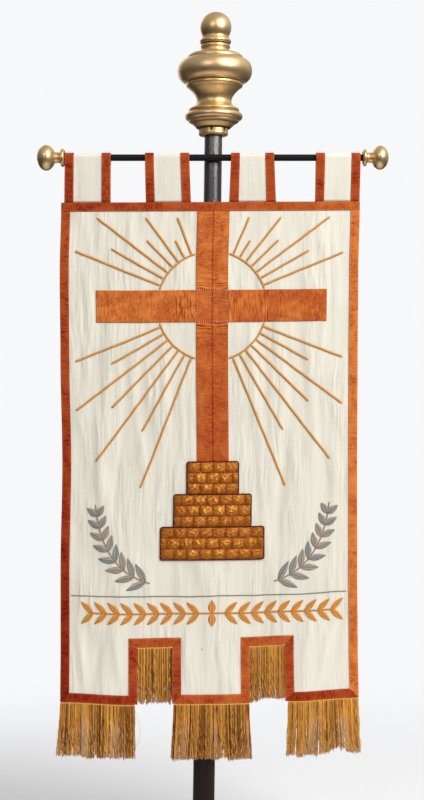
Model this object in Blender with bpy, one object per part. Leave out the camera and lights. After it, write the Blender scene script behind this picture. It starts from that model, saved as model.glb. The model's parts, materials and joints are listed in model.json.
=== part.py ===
"""Church banner on its crossbar and pole: a notched cream panel with velvet bindings,
an applied velvet cross, couched rays, padded steps, stitched branches and gold fringes.

Metres, +Z up. The origin is the middle of the pole's flat lower end. The banner faces -Y.
Cloth pieces are laid out flat first, as a maker cuts them: u runs across from the panel's left
edge, v runs down from its top edge and w is the height in front of the panel's middle layer.
hang() carries that flat layout to the shape in which the banner hangs.
"""

from collections import namedtuple
from math import acos, atan2, cos, hypot, pi, radians, sin

import bmesh
import bpy
import numpy as np
from mathutils import Matrix

# Fit
GAP = 0.0003
MITRE_TRIM = 0.00022
LAYER_GAP = 0.0005

# Pole, crossbar and turned ends
POLE_RADIUS = 0.0179
POLE_LEAN = 0.0147
POLE_SEGMENTS = 28
SLEEVE_RADIUS = 0.0218
SLEEVE_TOP = 0.420
SLEEVE_ROUNDING = 0.002
CROSSBAR_RADIUS = 0.0066
CROSSBAR_SEGMENTS = 16
CROSSBAR_HEIGHT = 1.3846
CROSSBAR_LEFT = -0.2757
CROSSBAR_RIGHT = 0.3193
FINIAL_FOOT = 1.4476
FINIAL_LEAN = 0.0220
FINIAL_SEGMENTS = 24
COLLAR_FOOT = 1.4324
COLLAR_RADIUS = 0.0295
COLLAR_CHAMFER = 0.0015
COLLAR_CHAMFER_HEIGHT = 0.004
COLLAR_SEGMENTS = 26
COLLAR_SLOTS = 6
COLLAR_SLOT_WIDTH = 0.0035
COLLAR_SLOT_HEIGHT = 0.0065
COLLAR_SLOT_DEPTH = 0.007
COLLAR_FIRST_SLOT = 22.0
CUTTER_SPARE = 0.005
KNOB_SCALE = {"knob_left": 1.06, "knob_right": 0.98}
KNOB_SEGMENTS = 18
TURNED_SMOOTH_ANGLE = radians(40)

# Panel
CUT_WIDTH = 0.596
CUT_HEIGHT = 1.003
NOTCH_TOP = 0.889
NOTCHES = ((0.154, 0.224), (0.379, 0.450))
PANEL_TOP = 1.2940
TOP_RISE = 0.0028
PANEL_THICKNESS = 0.0020
GRID_PITCH = 0.025
ROW_PITCH = 0.060
CLOTH_Y = -(POLE_RADIUS + GAP + CROSSBAR_RADIUS)

# Velvet
VELVET_THICKNESS = 0.0012
BORDER_WIDTH = 0.0175
BORDER_OVERHANG = 0.0005
VELVET_BACK = PANEL_THICKNESS / 2 + LAYER_GAP
CROSS_U = 0.3042
CROSS_V = 0.2080
CROSS_WIDTH = 0.0644
CROSS_ARM_ENDS = (0.0719, 0.5337)

# Tabs over the crossbar
TAB_THICKNESS = 0.0016
TAB_TRIM_WIDTH = 0.0178
TAB_ARC_STEPS = 8
TAB_LEG_STEPS = 2

# Rays
RAY_RING_RADIUS = 0.1100
RAY_RING_WIDTH = 0.0040
RAY_WIDTH = 0.0044
RAY_HEIGHT = 0.0016
RAYS_PER_QUARTER = 7
RAY_FIRST_ANGLE = 22.0
RAY_LAST_ANGLE = 68.0
RAY_BORDER_MARGIN = 0.012
RAY_LONGEST = 0.390
RAY_SHORT_SHARE = 0.74
RAY_RING_PITCH = 0.045

# Padded steps under the cross
STEP_HEIGHT = 0.0650
STEP_WIDTHS = (0.104, 0.156, 0.208)
STEP_FIRST_V = 0.5200
STEP_EDGE = 0.0014
STEP_CROWN = 0.0055
STEP_PILLOW_WIDTH = 0.052
STEP_PILLOW_COLUMNS = 4
STEP_ROWS = 4
STEP_FULLNESS = 0.5

# Stitched branches and leaf band
STITCH_HEIGHT = 0.0012
STEM_HALF_WIDTH = 0.0014
LEAF_ROOT = 0.0036
LEAF_ANGLE = 42.0
LEAF_WIDEST_AT = 0.42
LEAF_TIP_SHARE = 0.08
BRANCH_START = (0.124, 0.762)
BRANCH_BEND = (0.222, 0.735)
BRANCH_END = (0.236, 0.605)
BRANCH_LEAVES = 8
BRANCH_FIRST_LEAF = 0.010
BRANCH_LEAF_PITCH = 0.0246
BRANCH_LEAF_LENGTH = 0.042
BRANCH_LEAF_TAPER = 0.055
BRANCH_LEAF_HALF_WIDTH = 0.0066
BRANCH_SAMPLES = 200
BAND_V = 0.8230
BAND_ENDS = (0.0560, 0.5520)
BAND_STEM_HALF_WIDTH = 0.0018
BAND_LEAF_PITCH = 0.0265
BAND_LEAF_LENGTH = 0.033
BAND_LEAF_HALF_WIDTH = 0.0056
BAND_MIDDLE_LENGTH = 0.0264
BAND_MIDDLE_HALF_WIDTH = 0.0076

# Fringe
HEADING_HEIGHT = 0.0040
HEADING_DEPTH = 0.0024
STRAND_PITCH = 0.0029
STRAND_HALF_WIDTH = 0.0011
STRAND_HALF_DEPTH = 0.0007
STRAND_UNEVEN_LENGTH = 0.003
STRAND_UNEVEN_SHIFT = 0.0002
STRAND_DRIFT = 1.5
SWAY_FREE = 0.0009
SWAY_IN_NOTCH = 0.0002
SWAY_WAVES = 9.0
RIPPLE = 0.0008
RIPPLE_WAVES = 23.0
DIP_WIDTH = 0.09

Point = namedtuple("Point", "radius height")
Band = namedtuple("Band", "radius bulge low high steps")
Ball = namedtuple("Ball", "radius half_height middle start_angle steps")
Edge = namedtuple("Edge", "drop left right")
Hem = namedtuple("Hem", "across lift")
Fold = namedtuple("Fold", "across width forward start")
Corner = namedtuple("Corner", "u v inward_u inward_v")
Tab = namedtuple("Tab", "name top_left top_right foot_left foot_right")
Fringe = namedtuple("Fringe", "name left right top length flare_left flare_right dip_at dip")
Bend = namedtuple("Bend", "along narrowing")
Tooth = namedtuple("Tooth", "place root side direction rings")
Ring = namedtuple("Ring", "away shift half_width back front")
Finish = namedtuple("Finish", "colour roughness metallic")

# The finial from its foot up: cone, ringed foot, cove, ledge, broad bulb, shoulder, neck and ball
FINIAL_PARTS = (
    Point(radius=0.0346, height=0.0000),
    Point(radius=0.0445, height=0.0098),
    Band(radius=0.0480, bulge=0.0026, low=0.0118, high=0.0152, steps=2),
    Band(radius=0.0500, bulge=0.0082, low=0.0156, high=0.0312, steps=3),
    Band(radius=0.0474, bulge=0.0036, low=0.0318, high=0.0398, steps=2),
    Point(radius=0.0405, height=0.0440),
    Point(radius=0.0362, height=0.0485),
    Point(radius=0.0350, height=0.0545),
    Point(radius=0.0372, height=0.0630),
    Point(radius=0.0425, height=0.0710),
    Point(radius=0.0500, height=0.0788),
    Point(radius=0.0540, height=0.0824),
    Band(radius=0.0550, bulge=0.0022, low=0.0832, high=0.0914, steps=2),
    Band(radius=0.0580, bulge=0.0175, low=0.0924, high=0.1376, steps=7),
    Point(radius=0.0566, height=0.1400),
    Point(radius=0.0545, height=0.1458),
    Point(radius=0.0500, height=0.1482),
    Point(radius=0.0300, height=0.1518),
    Point(radius=0.0272, height=0.1560),
    Band(radius=0.0268, bulge=0.0030, low=0.1604, high=0.1684, steps=2),
    Band(radius=0.0280, bulge=0.0038, low=0.1700, high=0.1796, steps=2),
    Point(radius=0.0268, height=0.1830),
    Ball(radius=0.0316, half_height=0.0316, middle=0.2030, start_angle=-30, steps=6),
)

# A turned end from the bar outwards: flange, narrow neck and oblate ball
KNOB_PARTS = (
    Point(radius=0.0120, height=0.0000),
    Band(radius=0.0120, bulge=0.0055, low=0.0004, high=0.0086, steps=4),
    Point(radius=0.0102, height=0.0105),
    Point(radius=0.0099, height=0.0140),
    Point(radius=0.0108, height=0.0180),
    Ball(radius=0.0243, half_height=0.0175, middle=0.0355, start_angle=-62, steps=9),
)

# Where the side edges hang, by the drop below the panel's top edge
EDGES = (
    Edge(drop=0.000, left=-0.2827, right=0.3133),
    Edge(drop=0.145, left=-0.2857, right=0.3103),
    Edge(drop=0.305, left=-0.2843, right=0.3089),
    Edge(drop=0.525, left=-0.2805, right=0.3079),
    Edge(drop=0.745, left=-0.2843, right=0.3083),
    Edge(drop=0.905, left=-0.2843, right=0.3095),
    Edge(drop=1.003, left=-0.2851, right=0.3113),
)

# How far the hem is drawn up above its level line
HEMS = (
    Hem(across=0.000, lift=0.0052),
    Hem(across=0.147, lift=0.0000),
    Hem(across=0.227, lift=0.0012),
    Hem(across=0.375, lift=0.0020),
    Hem(across=0.455, lift=0.0058),
    Hem(across=0.596, lift=0.0118),
)

# Soft upright folds: middle, width, how far forward at the hem, and where each begins
FOLDS = (
    Fold(across=-0.010, width=0.075, forward=-0.0040, start=0.30),
    Fold(across=0.118, width=0.062, forward=0.0030, start=0.08),
    Fold(across=0.208, width=0.056, forward=-0.0020, start=0.30),
    Fold(across=0.296, width=0.072, forward=0.0028, start=0.15),
    Fold(across=0.402, width=0.056, forward=-0.0020, start=0.22),
    Fold(across=0.492, width=0.062, forward=0.0030, start=0.12),
    Fold(across=0.608, width=0.075, forward=-0.0042, start=0.35),
)

TABS = (
    Tab("tab_1", top_left=-0.2752, top_right=-0.1840, foot_left=-0.2769, foot_right=-0.1842),
    Tab("tab_2", top_left=-0.1157, top_right=-0.0271, foot_left=-0.1140, foot_right=-0.0237),
    Tab("tab_3", top_left=0.0563, top_right=0.1425, foot_left=0.0524, foot_right=0.1462),
    Tab("tab_4", top_left=0.2262, top_right=0.3148, foot_left=0.2243, foot_right=0.3131),
)

HEM_EDGE = CUT_HEIGHT + BORDER_OVERHANG + GAP
NOTCH_EDGE = NOTCH_TOP + BORDER_OVERHANG + GAP
FRINGES = (
    Fringe("fringe_left", 0.0006, 0.1480, HEM_EDGE, 0.108, 0.0070, 0.0000, 0.30, 0.0),
    Fringe("fringe_middle", 0.2275, 0.3770, HEM_EDGE, 0.110, 0.0070, 0.0060, 0.60, 0.0),
    Fringe("fringe_right", 0.4560, 0.5950, HEM_EDGE, 0.109, 0.0050, 0.0080, 0.69, 0.013),
    Fringe("fringe_notch_left", 0.1556, 0.2224, NOTCH_EDGE, 0.110, 0.0, 0.0, 0.5, 0.0),
    Fringe("fringe_notch_right", 0.3806, 0.4484, NOTCH_EDGE, 0.107, 0.0, 0.0, 0.5, 0.0),
)

# Where a fringe strand bends and how much of its width it keeps there
STRAND_BENDS = (
    Bend(along=0.42, narrowing=1.0),
    Bend(along=1.00, narrowing=0.75),
)

FINISHES = {
    "gunmetal": Finish((0.11, 0.10, 0.10), 0.28, 0.85),
    "dark_wood": Finish((0.022, 0.014, 0.010), 0.45, 0.0),
    "black_paint": Finish((0.010, 0.010, 0.011), 0.55, 0.0),
    "gilding": Finish((0.48, 0.33, 0.14), 0.38, 0.75),
    "cream_silk": Finish((0.82, 0.77, 0.65), 0.75, 0.0),
    "velvet": Finish((0.56, 0.13, 0.03), 0.85, 0.0),
    "gold_cord": Finish((0.67, 0.30, 0.06), 0.55, 0.1),
    "gold_satin": Finish((0.58, 0.28, 0.05), 0.35, 0.4),
    "blue_thread": Finish((0.20, 0.26, 0.26), 0.60, 0.0),
    "gold_bullion": Finish((0.52, 0.29, 0.07), 0.50, 0.3),
}


def clear_scene():
    for piece in list(bpy.data.objects):
        bpy.data.objects.remove(piece, do_unlink=True)


def finished(piece, finish_name):
    """Gives the piece a material of its own in the named finish."""
    finish = FINISHES[finish_name]
    material = bpy.data.materials.new(f"{piece.name}_{finish_name}")
    material.use_nodes = True
    shader = material.node_tree.nodes["Principled BSDF"]
    shader.inputs["Base Color"].default_value = (*finish.colour, 1.0)
    shader.inputs["Roughness"].default_value = finish.roughness
    shader.inputs["Metallic"].default_value = finish.metallic
    piece.data.materials.append(material)
    return piece


def closed_piece(name, mesh_editor, finish_name, smooth_angle=None):
    """Turns the faces outwards and makes the object."""
    loose = [vert for vert in mesh_editor.verts if not vert.link_faces]
    bmesh.ops.delete(mesh_editor, geom=loose, context="VERTS")
    bmesh.ops.recalc_face_normals(mesh_editor, faces=mesh_editor.faces)
    mesh = bpy.data.meshes.new(name)
    mesh_editor.to_mesh(mesh)
    mesh_editor.free()
    if smooth_angle is not None:
        mesh.shade_smooth()
        mesh.set_sharp_from_angle(angle=smooth_angle)
    piece = bpy.data.objects.new(name, mesh)
    bpy.context.scene.collection.objects.link(piece)
    return finished(piece, finish_name)


def mesh_from(points, faces):
    mesh_editor = bmesh.new()
    verts = [mesh_editor.verts.new(point) for point in points]
    for face in faces:
        mesh_editor.faces.new([verts[index] for index in face])
    return mesh_editor


# The hang of the cloth


def eased(at, stations, values):
    """Carries a table's values from station to station, level at each one."""
    order = np.arange(len(stations))
    place = np.interp(at, stations, order)
    step = np.floor(place)
    part = place - step
    return np.interp(step + part * part * (3 - 2 * part), order, values)


def fold_depth(u, v):
    """Distance behind the flat plane: every fold swells from its start down to the hem."""
    depth = np.zeros(np.broadcast(u, v).shape)
    for fold in FOLDS:
        begun = np.clip((v - fold.start) / (CUT_HEIGHT - fold.start), 0, 1)
        swell = begun * begun * (3 - 2 * begun)
        depth -= fold.forward * swell * np.exp(-(((u - fold.across) / fold.width) ** 2))
    return depth


def hang(cut):
    """Carries flat (u, v, w) points to where they hang."""
    u, v, w = cut[..., 0], cut[..., 1], cut[..., 2]
    drops = [edge.drop for edge in EDGES]
    left = eased(v, drops, [edge.left for edge in EDGES])
    right = eased(v, drops, [edge.right for edge in EDGES])
    lift = eased(u, [hem.across for hem in HEMS], [hem.lift for hem in HEMS])
    x = left + (right - left) * u / CUT_WIDTH
    y = CLOTH_Y + fold_depth(u, v) - w
    z = PANEL_TOP + TOP_RISE * u / CUT_WIDTH - v + lift * v / CUT_HEIGHT
    return np.stack([x, y, z], axis=-1)


def top_edge(x):
    """Height of the top binding's upper edge at a place across."""
    first = EDGES[0]
    return PANEL_TOP + TOP_RISE * (x - first.left) / (first.right - first.left) + BORDER_OVERHANG


# Solids from grids and strips


def ruled(stations, pitch):
    """Lines through all the stations, no further apart than the pitch."""
    lines = [stations[0]]
    for start, end in zip(stations, stations[1:]):
        steps = max(1, int(np.ceil((end - start) / pitch - 0.01)))
        lines.extend(np.linspace(start, end, steps + 1)[1:])
    return np.array(lines)


def slab(front, back, kept=None):
    """The closed solid between two equal grids of points, walled round its kept cells."""
    rows, columns = front.shape[:2]
    if kept is None:
        kept = np.ones((rows - 1, columns - 1), dtype=bool)
    fence = np.pad(kept, 1)
    count = rows * columns
    points = np.concatenate([front.reshape(-1, 3), back.reshape(-1, 3)])
    faces = []
    for row, column in zip(*np.nonzero(kept)):
        a = row * columns + column
        b, c, d = a + 1, a + columns + 1, a + columns
        faces.append((a, d, c, b))
        faces.append((a + count, b + count, c + count, d + count))
        edges = ((a, b, -1, 0), (b, c, 0, 1), (c, d, 1, 0), (d, a, 0, -1))
        for first, second, down, along in edges:
            if not fence[row + 1 + down, column + 1 + along]:
                faces.append((first, second, second + count, first + count))
    return mesh_from(points, faces)


def layered(u, v, back, front):
    """The same flat grid at two heights, hung."""
    u, v = np.broadcast_arrays(u, v)
    fronts = np.stack([u, v, np.broadcast_to(front, u.shape)], axis=-1)
    backs = np.stack([u, v, np.broadcast_to(back, u.shape)], axis=-1)
    return hang(fronts), hang(backs)


def cut_patch(name, corners, finish_name):
    """A velvet piece with four corners: the first two along one long side, then back along the other."""
    a, b, c, d = (np.array(corner) for corner in corners)
    length = np.hypot(*(b - a))
    width = np.hypot(*(d - a))
    s = np.linspace(0, 1, max(1, round(length / GRID_PITCH)) + 1)[:, None, None]
    t = np.linspace(0, 1, max(1, round(width / GRID_PITCH)) + 1)[None, :, None]
    flat = (1 - t) * ((1 - s) * a + s * b) + t * ((1 - s) * d + s * c)
    u, v = flat[..., 0], flat[..., 1]
    grids = layered(u, v, VELVET_BACK, VELVET_BACK + VELVET_THICKNESS)
    return closed_piece(name, slab(*grids), finish_name)


def stemmed(name, path, reach, half_width, teeth, heights, finish_name):
    """One body: a strip along a flat path, with teeth that grow out of its side walls.

    path(distance) gives a point and the unit vector along the path. A tooth's rings say how it
    goes on from its root: how far away, its sideways shift and half width, and its two heights.
    """
    back, front = heights
    ends = [end for tooth in teeth for end in (tooth.place - tooth.root / 2, tooth.place + tooth.root / 2)]
    stations = np.unique(np.round([0.0, reach, *ends], 6))
    points = []
    for station in stations:
        middle, along = path(station)
        side = np.array([along[1], -along[0]]) * half_width
        for place, height in ((middle + side, front), (middle + side, back),
                              (middle - side, back), (middle - side, front)):
            points.append((*place, height))
    faces = [(0, 1, 2, 3), tuple(4 * (len(stations) - 1) + k for k in (3, 2, 1, 0))]
    walls = {}
    for k in range(len(stations) - 1):
        i, j = 4 * k, 4 * k + 4
        faces.append((i + 1, i + 2, j + 2, j + 1))
        faces.append((i + 3, i, j, j + 3))
        walls[k, 1] = (i, i + 1, j + 1, j)
        walls[k, -1] = (i + 3, i + 2, j + 2, j + 3)
    for tooth in teeth:
        start = np.round(tooth.place - tooth.root / 2, 6)
        ring = walls.pop((int(np.searchsorted(stations, start - 1e-9)), tooth.side))
        first, second = np.array(points[ring[0]])[:2], np.array(points[ring[3]])[:2]
        root = (first + second) / 2
        direction = np.array(tooth.direction)
        across = np.array([-direction[1], direction[0]])
        across = across * np.sign(across @ (second - first))
        for stop in tooth.rings:
            centre = root + direction * stop.away + across * stop.shift
            start_side = centre - across * stop.half_width
            end_side = centre + across * stop.half_width
            base = len(points)
            points.append((*start_side, stop.front))
            points.append((*start_side, stop.back))
            points.append((*end_side, stop.back))
            points.append((*end_side, stop.front))
            for k in range(4):
                after = (k + 1) % 4
                faces.append((ring[k], ring[after], base + after, base + k))
            ring = (base, base + 1, base + 2, base + 3)
        faces.append(ring)
    faces.extend(walls.values())
    return closed_piece(name, mesh_from(hang(np.array(points)), faces), finish_name)


def profile_of(parts, scale=1.0):
    """(radius, height) points of a turned piece from its table, closed on the axis at both ends."""
    profile = [(0, 0)]
    for part in parts:
        if isinstance(part, Point):
            profile.append((part.radius, part.height))
        elif isinstance(part, Band):
            middle, half = (part.low + part.high) / 2, (part.high - part.low) / 2
            for angle in np.linspace(-pi / 2, pi / 2, part.steps + 1):
                profile.append((part.radius + part.bulge * cos(angle), middle + half * sin(angle)))
        else:
            for angle in np.linspace(radians(part.start_angle), pi / 2, part.steps + 1)[:-1]:
                height = part.middle + part.half_height * sin(angle)
                profile.append((part.radius * cos(angle), height))
            profile.append((0, part.middle + part.half_height))
    return [(radius * scale, height * scale) for radius, height in profile]


def turned(name, profile, lean, segments, finish_name, smooth_angle=TURNED_SMOOTH_ANGLE):
    """A turned solid: (radius, height) points spun about Z, then leaned towards +X."""
    mesh_editor = bmesh.new()
    verts = [mesh_editor.verts.new((radius, 0, height)) for radius, height in profile]
    closed = profile[0][0] > 0
    pairs = list(zip(verts, verts[1:])) + ([(verts[-1], verts[0])] if closed else [])
    edges = [mesh_editor.edges.new(pair) for pair in pairs]
    bmesh.ops.spin(mesh_editor, geom=verts + edges, axis=(0, 0, 1), cent=(0, 0, 0),
                   angle=2 * pi, steps=segments, use_merge=True, use_duplicate=False)
    bmesh.ops.remove_doubles(mesh_editor, verts=mesh_editor.verts, dist=1e-6)
    bmesh.ops.transform(mesh_editor, matrix=Matrix.Shear("XY", 4, (lean, 0.0)), verts=mesh_editor.verts)
    return closed_piece(name, mesh_editor, finish_name, smooth_angle)


# Pole, crossbar and turned ends


def pole_place(height):
    return (POLE_LEAN * height, 0.0, height)


def make_pole():
    """The upper pole, which carries the finial, and the thicker sleeve that it stands in."""
    length = FINIAL_FOOT - GAP - SLEEVE_TOP - GAP
    pole_profile = [(0, 0), (POLE_RADIUS, 0), (POLE_RADIUS, length), (0, length)]
    pole = turned("pole", pole_profile, POLE_LEAN, POLE_SEGMENTS, "gunmetal")
    pole.location = pole_place(SLEEVE_TOP + GAP)
    sleeve_profile = [(0, 0), (SLEEVE_RADIUS, 0), (SLEEVE_RADIUS, SLEEVE_TOP - SLEEVE_ROUNDING),
                      (SLEEVE_RADIUS - SLEEVE_ROUNDING, SLEEVE_TOP), (0, SLEEVE_TOP)]
    turned("pole_sleeve", sleeve_profile, POLE_LEAN, POLE_SEGMENTS, "dark_wood")


def make_crossbar():
    length = CROSSBAR_RIGHT - CROSSBAR_LEFT - 2 * GAP
    bar_profile = [(0, 0), (CROSSBAR_RADIUS, 0), (CROSSBAR_RADIUS, length), (0, length)]
    bar = turned("crossbar", bar_profile, 0.0, CROSSBAR_SEGMENTS, "black_paint")
    bar.rotation_euler = (0, pi / 2, 0)
    bar.location = (CROSSBAR_LEFT + GAP, CLOTH_Y, CROSSBAR_HEIGHT)


def make_knob(name, inner_face, turn):
    profile = profile_of(KNOB_PARTS, KNOB_SCALE[name])
    knob = turned(name, profile, 0.0, KNOB_SEGMENTS, "gilding")
    knob.rotation_euler = (0, turn, 0)
    knob.location = (inner_face, CLOTH_Y, CROSSBAR_HEIGHT)


def make_finial():
    finial = turned("finial", profile_of(FINIAL_PARTS), FINIAL_LEAN, FINIAL_SEGMENTS, "gilding")
    finial.location = pole_place(FINIAL_FOOT)


def make_collar():
    """A slotted ring round the pole, under the finial."""
    height = FINIAL_FOOT - GAP - COLLAR_FOOT
    bore = POLE_RADIUS + GAP
    profile = [(COLLAR_RADIUS - COLLAR_CHAMFER, 0), (COLLAR_RADIUS, COLLAR_CHAMFER_HEIGHT),
               (COLLAR_RADIUS, height), (bore, height), (bore, 0)]
    collar = turned("finial_collar", profile, POLE_LEAN, COLLAR_SEGMENTS, "gilding")
    collar.location = pole_place(COLLAR_FOOT)
    cutter_length = COLLAR_SLOT_DEPTH + CUTTER_SPARE
    cutter_height = COLLAR_SLOT_HEIGHT + CUTTER_SPARE
    middle = COLLAR_RADIUS - COLLAR_SLOT_DEPTH + cutter_length / 2
    for k in range(COLLAR_SLOTS):
        angle = 2 * pi * k / COLLAR_SLOTS + radians(COLLAR_FIRST_SLOT)
        bpy.ops.mesh.primitive_cube_add(size=1)
        cutter = bpy.context.object
        cutter.name = f"collar_slot_cutter_{k}"
        cutter.data.transform(Matrix.Diagonal((cutter_length, COLLAR_SLOT_WIDTH, cutter_height, 1)))
        x, _, z = pole_place(COLLAR_FOOT + height - COLLAR_SLOT_HEIGHT + cutter_height / 2)
        cutter.location = (x + middle * cos(angle), middle * sin(angle), z)
        cutter.rotation_euler = (0, 0, angle)
        cutter.hide_render = True
        cutter.display_type = "WIRE"
        slot = collar.modifiers.new(cutter.name, "BOOLEAN")
        slot.operation = "DIFFERENCE"
        slot.solver = "EXACT"
        slot.object = cutter


# Cloth pieces


def make_panel():
    """The cream ground, one sheet with two notches in its hem."""
    across = ruled([0, *[edge for notch in NOTCHES for edge in notch], CUT_WIDTH], GRID_PITCH)
    down = ruled([0, NOTCH_TOP, CUT_HEIGHT], ROW_PITCH)
    u, v = np.meshgrid(across, down)
    middle_u = (u[:-1, :-1] + u[1:, 1:]) / 2
    middle_v = (v[:-1, :-1] + v[1:, 1:]) / 2
    kept = np.ones(middle_u.shape, dtype=bool)
    for left, right in NOTCHES:
        kept &= ~((middle_u > left) & (middle_u < right) & (middle_v > NOTCH_TOP))
    front, back = layered(u, v, -PANEL_THICKNESS / 2, PANEL_THICKNESS / 2)
    closed_piece("panel", slab(back, front, kept), "cream_silk")


def make_bindings():
    """Velvet ribbon round the edge, mitred at every corner of the lappets and notches."""
    (a, b), (c, d) = NOTCHES
    corners = (
        Corner(0, BORDER_WIDTH + GAP, 1, 0),
        Corner(0, CUT_HEIGHT, 1, -1),
        Corner(a, CUT_HEIGHT, -1, -1),
        Corner(a, NOTCH_TOP, -1, -1),
        Corner(b, NOTCH_TOP, 1, -1),
        Corner(b, CUT_HEIGHT, 1, -1),
        Corner(c, CUT_HEIGHT, -1, -1),
        Corner(c, NOTCH_TOP, -1, -1),
        Corner(d, NOTCH_TOP, 1, -1),
        Corner(d, CUT_HEIGHT, 1, -1),
        Corner(CUT_WIDTH, CUT_HEIGHT, -1, -1),
        Corner(CUT_WIDTH, BORDER_WIDTH + GAP, -1, 0),
    )
    names = ("border_left", "hem_left", "notch_left_side_a", "notch_left_top", "notch_left_side_b",
             "hem_middle", "notch_right_side_a", "notch_right_top", "notch_right_side_b",
             "hem_right", "border_right")
    for name, start, end in zip(names, corners, corners[1:]):
        outer, inner = [], []
        for corner in (start, end):
            place = np.array([corner.u, corner.v])
            inward = np.array([corner.inward_u, corner.inward_v])
            outer.append(place - inward * BORDER_OVERHANG)
            inner.append(place + inward * BORDER_WIDTH)
        along = (outer[1] - outer[0]) / np.hypot(*(outer[1] - outer[0])) * MITRE_TRIM
        cut_patch(name, (outer[0] + along, outer[1] - along, inner[1] - along, inner[0] + along), "velvet")
    over = BORDER_OVERHANG
    cut_patch("border_top", ((-over, -over), (CUT_WIDTH + over, -over),
                             (CUT_WIDTH + over, BORDER_WIDTH), (-over, BORDER_WIDTH)), "velvet")


def make_cross():
    """Latin cross: one long upright and two arms butted against it."""
    half = CROSS_WIDTH / 2
    top, foot = BORDER_WIDTH + GAP, STEP_FIRST_V - GAP
    cut_patch("cross_upright", ((CROSS_U - half, top), (CROSS_U - half, foot),
                                (CROSS_U + half, foot), (CROSS_U + half, top)), "velvet")
    inner = (CROSS_U - half - GAP, CROSS_U + half + GAP)
    for name, end, start in zip(("cross_arm_left", "cross_arm_right"), CROSS_ARM_ENDS, inner):
        low, high = sorted((end, start))
        cut_patch(name, ((low, CROSS_V - half), (high, CROSS_V - half),
                         (high, CROSS_V + half), (low, CROSS_V + half)), "velvet")


def tab_profile(radius, foot_depth, foot_height):
    """(y, z) points up the front leg, over the crossbar and down the back leg."""
    drop = CROSSBAR_HEIGHT - foot_height
    tangent = pi / 2 - atan2(foot_depth, drop) - acos(radius / hypot(foot_depth, drop))
    points = []
    for share in np.linspace(0, 1, TAB_LEG_STEPS + 1)[:-1]:
        y = -foot_depth + share * (foot_depth - radius * cos(tangent))
        points.append((y, foot_height + share * (CROSSBAR_HEIGHT - radius * sin(tangent) - foot_height)))
    for angle in np.linspace(-tangent, pi + tangent, TAB_ARC_STEPS + 1):
        points.append((-radius * cos(angle), CROSSBAR_HEIGHT + radius * sin(angle)))
    points += [(-y, z) for y, z in reversed(points[:TAB_LEG_STEPS])]
    return np.array(points)


def loop_of_cloth(name, tab, low_share, high_share, inner_radius, thickness, foot_depth, finish_name):
    """A strip between two shares of the tab's width, looped over the crossbar."""
    shell = []
    for offset in (thickness, 0.0):
        rows = []
        for share in (low_share, high_share):
            foot_x = tab.foot_left + share * (tab.foot_right - tab.foot_left)
            top_x = tab.top_left + share * (tab.top_right - tab.top_left)
            foot = top_edge(foot_x) + GAP
            y, z = tab_profile(inner_radius + offset, foot_depth + offset, foot).T
            risen = ((z - foot) / (CROSSBAR_HEIGHT - foot)).clip(0, 1)
            rows.append(np.stack([foot_x + risen * (top_x - foot_x), CLOTH_Y + y, z], axis=-1))
        shell.append(np.stack(rows, axis=1))
    return closed_piece(name, slab(*shell), finish_name, TURNED_SMOOTH_ANGLE)


def make_tabs():
    """Four cream loops over the crossbar, each with velvet along both edges."""
    radius = CROSSBAR_RADIUS + GAP
    leg_inset = GAP / 2
    trim_gap = TAB_THICKNESS + GAP
    for tab in TABS:
        loop_of_cloth(tab.name, tab, 0.0, 1.0, radius, TAB_THICKNESS, leg_inset, "cream_silk")
        share = TAB_TRIM_WIDTH / (tab.top_right - tab.top_left)
        for side, low, high in (("left", 0.0, share), ("right", 1 - share, 1.0)):
            loop_of_cloth(f"{tab.name}_trim_{side}", tab, low, high, radius + trim_gap,
                          VELVET_THICKNESS, leg_inset + trim_gap, "velvet")


def ray_length(angle, to_right, up):
    """From the middle of the cross to a little short of the border, or to the longest reach."""
    edge = CUT_WIDTH - CROSS_U if to_right > 0 else CROSS_U
    side = edge - BORDER_WIDTH - RAY_BORDER_MARGIN
    above = CROSS_V - BORDER_WIDTH - RAY_BORDER_MARGIN
    limits = [side / cos(angle), RAY_LONGEST]
    if up:
        limits.append(above / sin(angle))
    return min(limits)


def make_rays():
    """In each quarter of the cross, a couched arc with an even fan of rays, long and short by turns."""
    inner_edge = CROSS_WIDTH / 2 + GAP * 2
    slack = np.arcsin(inner_edge / (RAY_RING_RADIUS - RAY_RING_WIDTH / 2))
    reach = (pi / 2 - 2 * slack) * RAY_RING_RADIUS
    front = VELVET_BACK + RAY_HEIGHT
    outer_radius = RAY_RING_RADIUS + RAY_RING_WIDTH / 2
    angles = np.radians(np.linspace(RAY_FIRST_ANGLE, RAY_LAST_ANGLE, RAYS_PER_QUARTER))
    for name, to_right, up in (("rays_upper_left", -1, True), ("rays_upper_right", 1, True),
                               ("rays_lower_left", -1, False), ("rays_lower_right", 1, False)):
        down = -1 if up else 1

        def arc(distance):
            angle = slack + distance / RAY_RING_RADIUS
            outward = np.array([to_right * cos(angle), down * sin(angle)])
            along = np.array([-to_right * sin(angle), down * cos(angle)])
            return np.array([CROSS_U, CROSS_V]) + outward * RAY_RING_RADIUS, along

        teeth = []
        for k, angle in enumerate(angles):
            share = 1.0 if k % 2 == 0 else RAY_SHORT_SHARE
            length = ray_length(angle, to_right, up) * share - outer_radius
            stops = np.linspace(0, length, int(np.ceil(length / RAY_RING_PITCH)) + 1)[1:]
            rings = [Ring(stop, 0.0, RAY_WIDTH / 2, VELVET_BACK, front) for stop in stops]
            direction = (to_right * cos(angle), down * sin(angle))
            place = (angle - slack) * RAY_RING_RADIUS
            teeth.append(Tooth(place, RAY_WIDTH * RAY_RING_RADIUS / outer_radius,
                               to_right * down, direction, rings))
        stemmed(name, arc, reach, RAY_RING_WIDTH / 2, teeth, (VELVET_BACK, front), "gold_cord")


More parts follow.
